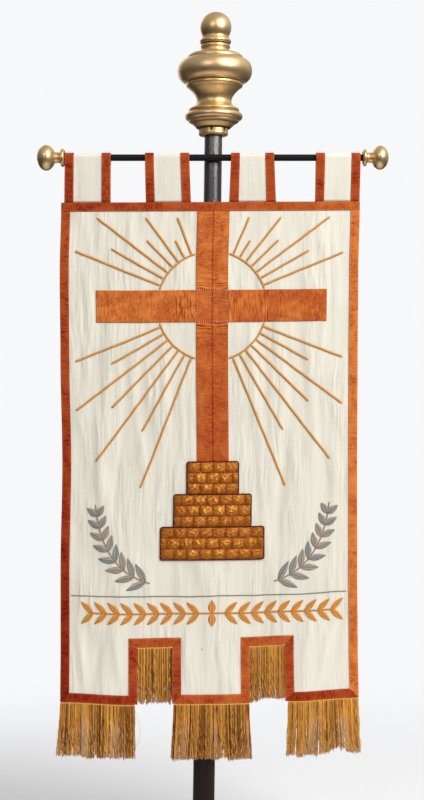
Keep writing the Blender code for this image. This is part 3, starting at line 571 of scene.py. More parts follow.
def paint_velvet(cloth, name, seed):
    """Short pile: soft crushed patches, fine marks across the strip, painted shade along thin crease
    lines, and a nap that turns the colour, as painted light and shade, from deep red where it lies away from the
    light to orange where it faces it."""
    paint = Paint(name)
    across, along = paint.from_uv()
    crush = paint.noise(across * 36, along * 24, seed, 3.0, 0.5)
    marks = paint.noise(across * 60, along * 330, seed, 2.0)
    pile = paint.noise(across * 1500, along * 1500, seed, 1.0)
    bent = paint.noise(across * 60, along * 120, seed + 9, 2.0, 0.6)
    # Thin crease lines, sunk in the bump and darkened as painted shade
    lines = paint.ease(abs(bent - 0.5), 0.050, 0.0) * paint.ease(crush, 0.62, 0.44)
    nap = (crush - 0.5) * 0.62 + (marks - 0.5) * 0.64 + (pile - 0.5) * 0.52 - lines * 0.32
    stops = ((0.0, tuple(cloth.velvet_shade)), (0.32, tuple(cloth.velvet_red)),
             (0.75, tuple(cloth.velvet)), (1.0, tuple(cloth.velvet_light)))
    colour = paint.node("ShaderNodeValToRGB", {"stops": stops}, {0: (paint.tone() + nap) * 0.75})
    height = pile * 0.3 + marks * 0.3 + crush * 0.3 - lines * 0.5
    return paint.finish(height=height, depth=0.0020, strength=0.6, Base_Color=colour,
                        Roughness=0.95 - marks * 0.1, Sheen_Weight=0.08, Sheen_Roughness=0.35,
                        Sheen_Tint=(1.0, 0.40, 0.15), Specular_IOR_Level=0.02)


def paint_cord(colour, name, twist, half_width):
    """Twisted thread: slanting plies with a painted highlight on their backs, and painted shade at
    the sides where the cord meets the cloth."""
    paint = Paint(name)
    across, along = paint.from_uv()
    ply = ((along + across * 0.9) * (2 * pi / twist)).wave() * 0.5 + 0.5
    worn = paint.noise(across * 40, along * 30, 1.0, 3.0)
    side = paint.ease(abs(across) / half_width, 0.50, 1.0)
    deep = (0.48 * colour[0], 0.36 * colour[1], 0.30 * colour[2])
    light = tuple(min(1.0, 1.22 * part) for part in colour)
    # The plies' backs and random worn patches go towards light, the backs as a painted highlight; the sides go
    # towards deep as painted shade
    shade = paint.blend(side, paint.blend(ply * 0.6 + worn * 0.4, colour, light), deep)
    return paint.finish(height=ply, depth=0.0004, strength=0.8, Base_Color=shade,
                        Roughness=0.70 - ply * 0.15, Specular_IOR_Level=0.10)


def paint_satin_leaf(first, second, name, half_width):
    """Satin stitch: threads that slant from the rib to the edge, with painted shade at the edge and in
    the rib, a painted highlight on the raised middle of each half, each half leaf in its own tone."""
    paint = Paint(name)
    across, along = paint.from_uv()
    aside = abs(across)
    thread = ((along - aside * 1.3) * (2 * pi / 0.0014)).wave() * 0.5 + 0.5
    uneven = paint.noise(across * 90, along * 420, 2.0, 2.0)
    # back is the raised middle of each half, lightened as a painted highlight; the thread ridges get a faint one
    # too
    back = paint.ease(aside / half_width, 0.0, 0.35) * (1 - paint.ease(aside / half_width, 0.55, 1.05))
    colour = paint.blend(paint.tone(), first, second)
    colour = paint.scaled(colour, 0.50 + thread * 0.14 + uneven * 0.34 + back * 0.42)
    return paint.finish(height=thread * 0.6 + uneven * 0.4, depth=0.0005, strength=0.8,
                        Base_Color=colour, Roughness=0.60 - thread * 0.15, Specular_IOR_Level=0.3)


def paint_padded(stitch, name):
    """Gold satin drawn over padding: painted shade, brown, in the seams, a painted highlight on the crowns, and
    fine crinkles lighter on their crests.
    """
    paint = Paint(name)
    across, along = paint.from_uv()
    crinkle = paint.noise(across * 90 + along * 70, along * 170 - across * 40, 4.0, 3.0, 1.6)
    weave = paint.noise(across * 900, along * 300, 5.0, 1.0)
    # The crinkles that raise the bump also lighten the satin on their crests as a painted highlight
    lit = paint.tone() * 0.62 + (crinkle - 0.5) * 1.05
    stops = ((0.0, tuple(stitch.padded_shade)), (0.55, tuple(stitch.padded)),
             (0.95, tuple(stitch.padded_light)))
    colour = paint.node("ShaderNodeValToRGB", {"stops": stops}, {0: lit})
    return paint.finish(height=crinkle * 0.85 + weave * 0.15, depth=0.0030, strength=0.7,
                        Base_Color=colour, Roughness=0.40 - weave * 0.06, Metallic=0.40,
                        Specular_IOR_Level=0.25)


def paint_fringe(fringe, name):
    """Twisted gold thread with painted shade where it lies deep in the fringe and a faint painted highlight on its
    plies, that wears to a silvery core.
    """
    paint = Paint(name)
    across, along = paint.from_uv()
    ply = ((along + across * 0.5) * (2 * pi / 0.0021)).wave() * 0.5 + 0.5
    uneven = paint.noise(across * 300, along * 90, 6.0, 2.0)
    stops = ((0.0, tuple(fringe.dark)), (0.40, tuple(fringe.gold)),
             (0.70, tuple(fringe.light)), (1.0, tuple(fringe.worn)))
    place = paint.tone() + (uneven - 0.5) * 0.40 + (ply - 0.5) * 0.10
    colour = paint.node("ShaderNodeValToRGB", {"stops": stops}, {0: place})
    return paint.finish(height=ply, depth=0.0003, strength=0.7, Base_Color=colour,
                        Roughness=0.55, Metallic=0.0, Specular_IOR_Level=0.35)


def paint_gilding(metal, name):
    """Bronze-gold paint: toned grooves, paler gold in cloudy patches and as a painted highlight on the ridges, and
    faint brush marks.
    """
    paint = Paint(name)
    x, y, z = paint.from_object()
    brushed = paint.noise(x * 90, y * 90, z * 420, 3.0)
    cloud = paint.noise(x * 28, y * 28, z * 34, 4.0, 0.6)
    peel = paint.noise(x * 620, y * 620, z * 620, 1.0)
    recess = paint.ease(paint.tone() + cloud * 0.5 - 0.25, 0.05, 0.95)
    gold = paint.scaled(tuple(metal.gilding), 1.20 + cloud * 0.24 + brushed * 0.16)
    # rubbed marks the ridges, outside the smoothed profile: their paler gold is a painted highlight, and they are
    # a little less rough
    rubbed = paint.ease(0 - paint.tone() + cloud * 0.5 - 0.25, 0.10, 0.80)
    gold = paint.blend(cloud * 0.35 + rubbed * 0.25, gold, tuple(metal.gilding_pale_and_highlight))
    colour = paint.blend(recess * 0.9, gold, tuple(metal.gilding_recess))
    return paint.finish(height=brushed * 0.5 + peel * 0.5, depth=0.0005, strength=0.35,
                        Base_Color=colour, Roughness=0.34 + recess * 0.20 + cloud * 0.14 - rubbed * 0.05,
                        Metallic=0.88)


def paint_gunmetal(metal, name):
    """Dark polished tube with fine pits and long scratches."""
    paint = Paint(name)
    x, y, z = paint.from_object()
    pits = paint.noise(x * 420, y * 420, z * 260, 3.0)
    drawn = paint.noise(x * 600, y * 600, z * 6, 2.0)
    cloud = paint.noise(x * 30, y * 30, z * 12, 3.0)
    colour = paint.scaled(tuple(metal.gunmetal), 0.34 + cloud * 0.50 + pits * 0.90)
    return paint.finish(height=pits * 0.7 + drawn * 0.3, depth=0.0014, strength=0.6,
                        Base_Color=colour, Roughness=0.20 + pits * 0.22, Metallic=0.88)


def paint_wood(metal, name):
    """Stained wood: long grain under worn wax."""
    paint = Paint(name)
    x, y, z = paint.from_object()
    grain = paint.noise(x * 210, y * 210, z * 5, 4.0, 0.3)
    wax = paint.noise(x * 25, y * 25, z * 9, 2.0)
    colour = paint.scaled(tuple(metal.wood), 0.35 + grain * 0.8)
    return paint.finish(height=grain, depth=0.0006, strength=0.4, Base_Color=colour,
                        Roughness=0.45 + wax * 0.22, Specular_IOR_Level=0.10)


def paint_black(metal, name):
    """Matte black paint, a little rubbed."""
    paint = Paint(name)
    x, y, z = paint.from_object()
    speck = paint.noise(x * 300, y * 500, z * 500, 2.0)
    rubbed = paint.noise(x * 18, y * 60, z * 60, 3.0)
    colour = paint.scaled(tuple(metal.bar), 0.4 + speck * 0.4 + rubbed * 0.3)
    return paint.finish(height=speck, depth=0.0003, strength=0.3, Base_Color=colour,
                        Roughness=0.55 + rubbed * 0.15, Specular_IOR_Level=0.16)


# The hang of the cloth


def eased(at, stations, values):
    """Carries a table's values from station to station, level at each one."""
    order = np.arange(len(stations))
    place = np.interp(at, stations, order)
    step = np.floor(place)
    part = place - step
    return np.interp(step + part * part * (3 - 2 * part), order, values)


def column(table, name):
    """One column of a table as an array."""
    return np.array([getattr(row, name) for row in table])


def fold_depth(u, v):
    """Distance behind the flat plane: every fold swells from its start down to the hem."""
    depth = np.zeros(np.broadcast(u, v).shape)
    for fold in FOLDS:
        begun = np.clip((v - fold.start) / (CUT_HEIGHT - fold.start), 0, 1)
        swell = begun * begun * (3 - 2 * begun)
        depth -= fold.forward * swell * np.exp(-(((u - fold.across) / fold.width) ** 2))
    return depth


def crease_height(u, v):
    """Height of the small creases: each is a bell across times a bell along its slanted line, and
    a faint slack wave runs under them all; both die away towards the top edge."""
    height = 0.0005 * np.sin(2 * pi * (u / 0.082 + 0.25 * np.sin(2 * pi * v / 0.47)))
    for crease in CREASES:
        slant = radians(crease.slant)
        across, down = u - crease.across, v - crease.drop
        aside = across * cos(slant) - down * np.sin(slant)
        along = across * np.sin(slant) + down * cos(slant)
        height += crease.height * np.exp(-((aside / crease.width) ** 2) - (along / crease.reach) ** 2)
    return height * np.clip(v / 0.06, 0, 1)


def hang(u, v, w):
    """Carries flat points to where they hang: across between the side edges at that drop, back by
    the folds and forward by the creases and the layer's height, down by v less the hem's lift."""
    u, v, w = np.broadcast_arrays(u, v, w)
    drops = column(EDGES, "drop")
    left = eased(v, drops, column(EDGES, "left"))
    right = eased(v, drops, column(EDGES, "right"))
    lift = eased(u, column(HEMS, "across"), column(HEMS, "lift"))
    x = left + (right - left) * u / CUT_WIDTH
    y = CLOTH_Y + fold_depth(u, v) - crease_height(u, v) - w
    z = PANEL_TOP + TOP_RISE * u / CUT_WIDTH - v + lift * v / CUT_HEIGHT
    return np.stack([x, y, z], axis=-1)


def top_edge(x):
    """Height of the top binding's upper edge at a place across."""
    first = EDGES[0]
    return PANEL_TOP + TOP_RISE * (x - first.left) / (first.right - first.left) + BORDER_OVERHANG


# Surfaces


def outward(points, quads, triangles):
    """Turns all faces over if the volume that they close comes out negative."""
    corners = [quads[:, [0, 1, 2]], quads[:, [0, 2, 3]]]
    if triangles is not None:
        corners.append(triangles)
    a, b, c = (points[side] for side in np.concatenate(corners).T)
    if np.einsum("ij,ij->", a, np.cross(b, c)) >= 0:
        return quads, triangles
    return quads[:, ::-1], None if triangles is None else triangles[:, ::-1]


def shell(front, back, uv, tone=None, kept=None):
    """The closed sheet between two equal grids: each kept cell gives a face in front and one
    behind, and each side of it that has no kept neighbour gives a wall."""
    rows, columns = front.shape[:2]
    index = np.arange(rows * columns).reshape(rows, columns)
    kept = np.ones((rows - 1, columns - 1), dtype=bool) if kept is None else kept
    a, b, c, d = index[:-1, :-1], index[:-1, 1:], index[1:, 1:], index[1:, :-1]
    behind = rows * columns
    quads = [np.stack([a, d, c, b], -1)[kept], np.stack([a, b, c, d], -1)[kept] + behind]
    fence = np.pad(kept, 1)
    sides = ((a, b, fence[:-2, 1:-1]), (b, c, fence[1:-1, 2:]),
             (c, d, fence[2:, 1:-1]), (d, a, fence[1:-1, :-2]))
    for first, second, neighbour in sides:
        bare = kept & ~neighbour
        i, j = first[bare], second[bare]
        quads.append(np.stack([i, j, j + behind, i + behind], -1))
    quads = np.concatenate(quads)
    used, quads = np.unique(quads, return_inverse=True)
    quads = quads.reshape(-1, 4)
    points = np.concatenate([front.reshape(-1, 3), back.reshape(-1, 3)])[used]
    uv = np.tile(uv.reshape(-1, 2), (2, 1))[used]
    tone = None if tone is None else np.tile(np.broadcast_to(tone, (rows, columns)).ravel(), 2)[used]
    quads, _ = outward(points, quads, None)
    return Surface(points, quads, None, uv, tone)


def tubes(points, uv, tone=None, ring=False):
    """Closed tubes side by side: points[k, n, s] is section point s at station n of tube k. Each
    pair of stations is joined by quads, and the ends by fans, or to each other for a ring."""
    count, stations, sides = points.shape[:3]
    index = np.arange(count * stations * sides).reshape(count, stations, sides)
    after = np.roll(index, -1, axis=2)
    following = np.roll(index, -1, axis=1)
    following_after = np.roll(after, -1, axis=1)
    reach = stations if ring else stations - 1
    quads = np.stack([index, after, following_after, following], -1)[:, :reach].reshape(-1, 4)
    triangles = None
    if not ring:
        fan = np.stack([np.zeros(sides - 2, int), np.arange(2, sides), np.arange(1, sides - 1)], -1)
        triangles = np.concatenate([index[:, 0][:, fan].reshape(-1, 3),
                                    index[:, -1][:, fan[:, ::-1]].reshape(-1, 3)])
    points = points.reshape(-1, 3)
    quads, triangles = outward(points, quads, triangles)
    tone = None if tone is None else np.broadcast_to(tone, (count, stations, sides)).ravel()
    return Surface(points, quads, triangles, uv.reshape(-1, 2), tone)


def turned(profile, segments, lean=0.0):
    """A profile spun about Z: radius times the cosine and sine of the angle, and height. The two
    ends close on the axis, the lean shifts each point by its height, and the tone is how far a
    point lies inside the profile's smoothed line, which marks the grooves, or outside it."""
    radius, height = np.array(profile).T
    travelled = np.concatenate([[0], np.cumsum(np.hypot(np.diff(radius), np.diff(height)))])
    nearness = np.exp(-(((travelled[:, None] - travelled[None, :]) / 0.0050) ** 2))
    smoothed = nearness @ radius / nearness.sum(axis=1)
    # Above zero the tone marks grooves, toned darker; below zero it marks ridges, which the gilding lightens as a
    # painted highlight
    groove = np.clip((smoothed - radius - 0.0005) / 0.0010, -1, 1)
    angle = np.linspace(0, 2 * pi, segments, endpoint=False)
    rings = np.stack(np.broadcast_arrays(radius[1:-1, None] * np.cos(angle) + lean * height[1:-1, None],
                                         radius[1:-1, None] * np.sin(angle), height[1:-1, None]), -1)
    ends = np.array([[lean * height[0], 0, height[0]], [lean * height[-1], 0, height[-1]]])
    points = np.concatenate([rings.reshape(-1, 3), ends])
    index = np.arange(rings.shape[0] * segments).reshape(-1, segments)
    after = np.roll(index, -1, axis=1)
    quads = np.stack([index[:-1], after[:-1], after[1:], index[1:]], -1).reshape(-1, 4)
    foot, top = len(points) - 2, len(points) - 1
    triangles = np.concatenate([
        np.stack([np.full(segments, foot), after[0], index[0]], -1),
        np.stack([np.full(segments, top), index[-1], after[-1]], -1),
    ])
    quads, triangles = outward(points, quads, triangles)
    tone = np.concatenate([np.repeat(groove[1:-1], segments), [0, 0]])
    return Surface(points, quads, triangles, None, tone)


def profile_of(parts, scale=1.0):
    """(radius, height) points from a table: smooth runs through points, rounded bands and balls."""
    pieces = []
    for part in parts:
        if isinstance(part, Band):
            angle = np.linspace(-pi / 2, pi / 2, 15)
            middle, half = (part.low + part.high) / 2, (part.high - part.low) / 2
            pieces.append(np.stack([part.radius + part.bulge * np.cos(angle),
                                    middle + half * np.sin(angle)], -1))
        elif isinstance(part, Ball):
            angle = np.linspace(radians(part.start_angle), pi / 2, 33)
            pieces.append(np.stack([part.radius * np.cos(angle),
                                    part.middle + part.half_height * np.sin(angle)], -1))
        else:
            pieces.append(smooth_run(np.array(part)))
    return np.concatenate(pieces) * scale


def smooth_run(points, steps=5):
    """A line through all the points that keeps its direction at each one: on every span, the
    cubic whose end slopes run from the point before to the point after."""
    if len(points) == 2:
        return points
    padded = np.concatenate([[2 * points[0] - points[1]], points, [2 * points[-1] - points[-2]]])
    before, start, end, beyond = (padded[k:k + len(points) - 1, None] for k in range(4))
    t = np.linspace(0, 1, steps, endpoint=False)[None, :, None]
    run = 0.5 * (2 * start + (end - before) * t + (2 * before - 5 * start + 4 * end - beyond) * t ** 2
                 + (3 * start - before - 3 * end + beyond) * t ** 3)
    return np.concatenate([run.reshape(-1, points.shape[1]), points[-1:]])


def placed(surface, across, up, origin):
    """The surface turned so that its X and Z lie along the two given directions, then moved."""
    across, up = np.array(across, float), np.array(up, float)
    turn = np.stack([across, np.cross(up, across), up])
    return surface._replace(points=surface.points @ turn + np.array(origin))


def joined(surfaces):
    """Several surfaces as one."""
    starts = np.cumsum([0] + [len(surface.points) for surface in surfaces])
    faces = {}
    for kind in ("quads", "triangles"):
        found = [getattr(surface, kind) + start for surface, start in zip(surfaces, starts)
                 if getattr(surface, kind) is not None]
        faces[kind] = np.concatenate(found) if found else None
    rest = {name: np.concatenate([getattr(surface, name) for surface in surfaces])
            for name in ("points", "uv", "tone") if surfaces[0]._asdict()[name] is not None}
    return Surface(**{"uv": None, "tone": None, **rest, **faces})


def add_piece(name, surface, material, nodes=(), smooth_angle=None):
    """Makes a surface into an object that rides on the banner and stands for the named solids."""
    faces = surface.quads.tolist()
    if surface.triangles is not None:
        faces += surface.triangles.tolist()
    mesh = bpy.data.meshes.new(name)
    mesh.from_pydata(surface.points.tolist(), [], faces)
    corners = np.empty(len(mesh.loops), dtype=np.int32)
    mesh.loops.foreach_get("vertex_index", corners)
    if surface.uv is not None:
        layer = mesh.uv_layers.new(name="cut")
        layer.data.foreach_set("uv", surface.uv[corners].astype(np.float32).ravel())
    if surface.tone is not None:
        tone = mesh.attributes.new("tone", "FLOAT", "POINT")
        tone.data.foreach_set("value", surface.tone.astype(np.float32))
    mesh.shade_smooth()
    if smooth_angle is not None:
        mesh.set_sharp_from_angle(angle=smooth_angle)
    mesh.materials.append(material)
    piece = bpy.data.objects.new(name, mesh)
    bpy.context.scene.collection.objects.link(piece)
    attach(piece, "root")
    if nodes:
        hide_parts(*nodes)
    return piece


# Pole, bar and turnings


def pole_place(height):
    return (POLE_LEAN * height, 0.0, height)


class BANNER_OT_pole(bpy.types.Operator):
    """Make the steel pole, its wooden sleeve and the crossbar"""

    bl_idname = "banner.pole"
    bl_label = "Pole and crossbar"

    def execute(self, context):
        metal = context.scene.banner_metal
        length = FINIAL_FOOT - GAP - SLEEVE_TOP - GAP
        tube = turned(rod_profile(POLE_RADIUS, length, 0.0004), metal.segments, POLE_LEAN)
        tube = placed(tube, (1, 0, 0), (0, 0, 1), pole_place(SLEEVE_TOP + GAP))
        add_piece("pole_tube", tube, paint_gunmetal(metal, "gunmetal"), ["pole"], radians(40))
        sleeve = turned(rod_profile(SLEEVE_RADIUS, SLEEVE_TOP, 0.0020), metal.segments, POLE_LEAN)
        add_piece("pole_wood", sleeve, paint_wood(metal, "stained_wood"),
                  ["pole_sleeve"], radians(40))
        span = CROSSBAR_RIGHT - CROSSBAR_LEFT - 2 * GAP
        bar = turned(rod_profile(CROSSBAR_RADIUS, span, 0.0003), metal.segments // 2)
        bar = placed(bar, (0, 1, 0), (1, 0, 0), (CROSSBAR_LEFT + GAP, CLOTH_Y, CROSSBAR_HEIGHT))
        add_piece("crossbar_tube", bar, paint_black(metal, "black_paint"),
                  ["crossbar"], radians(40))
        return {"FINISHED"}


def rod_profile(radius, length, rounding):
    """A rod's half section: out along its foot, round the edge, up its side and in again."""
    angle = np.linspace(0, pi / 2, 5)
    foot = np.stack([radius - rounding + rounding * np.sin(angle), rounding - rounding * np.cos(angle)], -1)
    side = np.stack([np.full(9, radius), np.linspace(rounding, length - rounding, 11)[1:-1]], -1)
    top = np.stack([radius - rounding + rounding * np.cos(angle),
                    length - rounding + rounding * np.sin(angle)], -1)
    return np.concatenate([[[0, 0]], foot, side, top, [[0, length]]])


class BANNER_OT_turnings(bpy.types.Operator):
    """Make the gilt finial, its slotted collar and the two ends of the crossbar"""

    bl_idname = "banner.turnings"
    bl_label = "Gilt turnings"

    def execute(self, context):
        metal = context.scene.banner_metal
        gilding = paint_gilding(metal, "gilding")
        finial = turned(profile_of(FINIAL_PARTS), metal.segments, FINIAL_LEAN)
        finial = placed(finial, (1, 0, 0), (0, 0, 1), pole_place(FINIAL_FOOT))
        add_piece("gilt_finial", finial, gilding, ["finial"], radians(50))
        for name, face, outwards in (("knob_left", CROSSBAR_LEFT, -1), ("knob_right", CROSSBAR_RIGHT, 1)):
            knob = turned(profile_of(KNOB_PARTS, KNOB_SCALE[name]), metal.segments * 2 // 3)
            knob = placed(knob, (0, 1, 0), (outwards, 0, 0), (face, CLOTH_Y, CROSSBAR_HEIGHT))
            add_piece(f"gilt_{name}", knob, gilding, [name], radians(50))
        add_piece("gilt_collar", slotted_collar(), gilding, ["finial_collar"], radians(40))
        return {"FINISHED"}


def slotted_collar():
    """A ring whose section is carried round the pole: where the turn angle lies in a slot, every
    point above the slot's floor is drawn in to the slot's depth."""
    height = FINIAL_FOOT - GAP - COLLAR_FOOT
    bore = POLE_RADIUS + GAP
    half_slot = COLLAR_SLOT_WIDTH / 2 / COLLAR_RADIUS
    slots = radians(COLLAR_FIRST_SLOT) + 2 * pi * np.arange(COLLAR_SLOTS) / COLLAR_SLOTS
    brims = np.concatenate([slots + shift * half_slot for shift in (-1.12, -0.98, 0.98, 1.12)])
    angle = np.unique(np.concatenate([np.linspace(0, 2 * pi, 181)[:-1], brims % (2 * pi)]))
    section = smooth_run(np.array([
        (COLLAR_RADIUS - 0.0022, 0.0), (COLLAR_RADIUS - 0.0006, 0.0014), (COLLAR_RADIUS, 0.0040),
        (COLLAR_RADIUS - 0.0003, 0.0075), (COLLAR_RADIUS - 0.0001, 0.0110),
        (COLLAR_RADIUS - 0.0010, height - 0.0008), (COLLAR_RADIUS - 0.0030, height)]), 3)
    section = np.concatenate([section, [(COLLAR_RADIUS - COLLAR_SLOT_DEPTH, height), (bore, height),
                                        (bore, height / 2), (bore, 0.0)]])
    radius, z = (part[None, :] for part in section.T)
    away = np.abs((angle[:, None] - slots[None, :] + pi) % (2 * pi) - pi).min(axis=1)[:, None]
    cut = (away < 1.05 * half_slot) & (z > height - COLLAR_SLOT_HEIGHT)
    pinch = 0.0009 * np.exp(-((away / half_slot - 1) / 1.5) ** 2) * (radius > bore + 0.002)
    radius = np.where(cut, np.minimum(radius, COLLAR_RADIUS - COLLAR_SLOT_DEPTH), radius - pinch)
    radius = np.maximum(radius, bore)
    x = radius * np.cos(angle)[:, None] + POLE_LEAN * z
    points = np.stack(np.broadcast_arrays(x, radius * np.sin(angle)[:, None], z), -1)[None]
    uv = np.zeros((*points.shape[:3], 2))
    tone = np.where(cut, 1.0, 0.35 * (away < 2 * half_slot))[None]
    ring = tubes(points, uv, tone, ring=True)
    return placed(ring, (1, 0, 0), (0, 0, 1), pole_place(COLLAR_FOOT))


# Cloth


def stations_between(stops, pitch):
    """Evenly spaced stations through all the stops, no further apart than the pitch."""
    spans = [np.linspace(start, end, max(2, int(np.ceil((end - start) / pitch - 0.01)) + 1))[:-1]
             for start, end in zip(stops, stops[1:])]
    return np.concatenate([*spans, [stops[-1]]])


def rim(share, length, roll=0.0012):
    """0 at both ends of a length and 1 from one roll's width inside them, as a quarter circle."""
    inside = np.clip(np.minimum(share, 1 - share) * length / roll, 0, 1)
    return np.sqrt(1 - (1 - inside) ** 2)


def rolled_stations(length, pitch, roll=0.0012):
    """Shares of a length, close together where its edges are rolled and even between."""
    close = np.array([0.0, 0.08, 0.30, 0.65, 1.0]) * roll / length
    middle = np.linspace(close[-1], 1 - close[-1], max(3, int(round(length / pitch)) + 1))
    return np.concatenate([close[:-1], middle, (1 - close[:-1])[::-1]])


class BANNER_OT_panel(bpy.types.Operator):
    """Make the cream ground with its two notches"""

    bl_idname = "banner.panel"
    bl_label = "Cream panel"

    def execute(self, context):
        cloth = context.scene.banner_cloth
        across = stations_between([0, *[edge for notch in NOTCHES for edge in notch], CUT_WIDTH], cloth.grid)
        down = stations_between([0, NOTCH_TOP, CUT_HEIGHT], cloth.grid)
        u, v = np.meshgrid(across, down)
        middle_u, middle_v = (u[:-1, :-1] + u[1:, 1:]) / 2, (v[:-1, :-1] + v[1:, 1:]) / 2
        kept = np.ones(middle_u.shape, dtype=bool)
        area = CUT_WIDTH * CUT_HEIGHT
        for left, right in NOTCHES:
            kept &= ~((middle_u > left) & (middle_u < right) & (middle_v > NOTCH_TOP))
            area -= (right - left) * (CUT_HEIGHT - NOTCH_TOP)
        half = PANEL_THICKNESS / 2
        sheet = shell(hang(u, v, half), hang(u, v, -half), np.stack([u, v], -1), kept=kept)
        panel = add_piece("silk_panel", sheet, paint_silk(cloth, "cream_silk", 0.0), ["panel"])
        return {"FINISHED"}


def velvet_strip(corners, tone, seams=(), crease=False):
    """A velvet piece with four corners, the first two along its outer side: the flat place is
    blended between the corners, and the height is rolled off at every edge, drawn down along both
    rows of stitches with small puckers, and pressed in at each seam across it. Beside a seam it
    lies in ridges, cosines that die away from it, and a crease may run down its middle."""
    a, b, c, d = (np.array(corner) for corner in corners)
    length = np.hypot(*(b - a))
    ahead = (b - a) / length
    width = abs(ahead[0] * (d - a)[1] - ahead[1] * (d - a)[0])
    inner_length = np.hypot(*(c - d))
    close = np.arange(-PUCKER_REACH, PUCKER_REACH, PUCKER_PITCH / 9)
    s = np.concatenate([rolled_stations(length, 0.0045), *[(seam.place + close) / length for seam in seams]])
    s = np.unique(s[(s >= 0) & (s <= 1)].round(7))[:, None]
    t = rolled_stations(width, 0.0022 if width < 0.03 else 0.0030)
    t = np.unique(np.concatenate([t, 0.5 + np.linspace(-0.0016, 0.0016, 5 * crease) / width]))[None, :]
    outer, inner = a + s[..., None] * (b - a), d + s[..., None] * (c - d)
    flat = outer + t[..., None] * (inner - outer)
    roll = np.minimum(rim(s, length), rim(t, width))
    near_edge = np.exp(-((np.minimum(t, 1 - t) * width - 0.0022) / 0.0009) ** 2)
    pucker = 0.5 + 0.5 * np.sin(2 * pi * s * length / 0.0085 + 3 * np.sin(s * length * 60))
    height = VELVET_THICKNESS * (VELVET_EDGE_SHARE + (1 - VELVET_EDGE_SHARE) * roll)
    height = height - 0.00045 * near_edge * (0.4 + 0.6 * pucker)
    ridges = 0
    for seam in seams:
        away = s * length - seam.place
        height = height - 0.0006 * np.exp(-((away / 0.0010) ** 2))
        stray = 1.2 * np.sin(t * width * 85 + seam.place * 90) + 0.7 * np.sin(t * width * 230 + away * 150)
        uneven = 1.6 * np.sin(away * 190 + seam.place * 50) + 0.8 * np.sin(away * 470 + seam.place * 31)
        patch = 0.65 + 0.35 * np.sin(t * width * 120 - away * 260 + seam.place * 70)
        wave = (0.5 + 0.5 * np.cos(2 * pi * away / PUCKER_PITCH + stray + uneven)) ** 4 * patch - 0.15
        ridges = ridges + seam.gather * wave * np.exp(-np.abs(away) / PUCKER_FADE) * (away * seam.side > 0)
    if crease:
        ridges = ridges + 0.45 * np.exp(-(((t - 0.5) * width / 0.0009) ** 2))
    height = height - 0.0020 * ridges
    u, v = flat[..., 0], flat[..., 1]
    front = hang(u, v, VELVET_BACK + np.maximum(height, 0.0003))
    uv = np.stack([t * width + 0 * s, (flat - a) @ ahead], -1)
    # The tone is painted light and shade: the piece's run from start to end, painted shade on the rolled edges, in
    # the pressed ridges beside the seams and in the middle crease, and a painted highlight where the pile rises
    # between the ridges
    shade = tone.start + (tone.end - tone.start) * s - 0.35 * (1 - roll) - 1.45 * ridges
    shade = shade + 0.30 * np.exp(-((np.minimum(t, 1 - t) * width - 0.0014) / 0.0007) ** 2) * (width < 0.03)
    sheet = shell(front, hang(u, v, VELVET_BACK), uv, shade + 0 * t)
    return sheet, (width, max(length, inner_length)), width * (length + inner_length) / 2


def add_velvet(name, corners, cloth, seed, seams=(), crease=False):
    surface, flat, area = velvet_strip(corners, VELVET_LIGHT_AND_SHADE[name], seams, crease)
    strip = add_piece(f"velvet_{name}", surface, paint_velvet(cloth, f"velvet_{name}", seed),
                      [name])
    return strip


class BANNER_OT_bindings(bpy.types.Operator):
    """Make the velvet ribbon round the panel, mitred at the corners of its lappets"""

    bl_idname = "banner.bindings"
    bl_label = "Velvet bindings"

    def execute(self, context):
        cloth = context.scene.banner_cloth
        (a, b), (c, d) = NOTCHES
        corners = (
            Corner(0, BORDER_WIDTH + GAP, 1, 0),
            Corner(0, CUT_HEIGHT, 1, -1),
            Corner(a, CUT_HEIGHT, -1, -1),
            Corner(a, NOTCH_TOP, -1, -1),
            Corner(b, NOTCH_TOP, 1, -1),
            Corner(b, CUT_HEIGHT, 1, -1),
            Corner(c, CUT_HEIGHT, -1, -1),
            Corner(c, NOTCH_TOP, -1, -1),
            Corner(d, NOTCH_TOP, 1, -1),
            Corner(d, CUT_HEIGHT, 1, -1),
            Corner(CUT_WIDTH, CUT_HEIGHT, -1, -1),
            Corner(CUT_WIDTH, BORDER_WIDTH + GAP, -1, 0),
        )
        names = ("border_left", "hem_left", "notch_left_side_a", "notch_left_top", "notch_left_side_b",
                 "hem_middle", "notch_right_side_a", "notch_right_top", "notch_right_side_b",
                 "hem_right", "border_right")
        joins = {"border_left": (Seam(RIBBON_JOIN, 1, 0.4),)}
        for seed, (name, start, end) in enumerate(zip(names, corners, corners[1:])):
            outer, inner = [], []
            for corner in (start, end):
                place = np.array([corner.u, corner.v])
                inward = np.array([corner.inward_u, corner.inward_v])
                outer.append(place - inward * BORDER_OVERHANG)
                inner.append(place + inward * BORDER_WIDTH)
            along = (outer[1] - outer[0]) / np.hypot(*(outer[1] - outer[0])) * MITRE_TRIM
            cut = (outer[0] + along, outer[1] - along, inner[1] - along, inner[0] + along)
            add_velvet(name, cut, cloth, 2.7 * seed, joins.get(name, ()))
        over = BORDER_OVERHANG
        cut = ((-over, -over), (CUT_WIDTH + over, -over),
               (CUT_WIDTH + over, BORDER_WIDTH), (-over, BORDER_WIDTH))
        add_velvet("border_top", cut, cloth, 31.0)
        return {"FINISHED"}


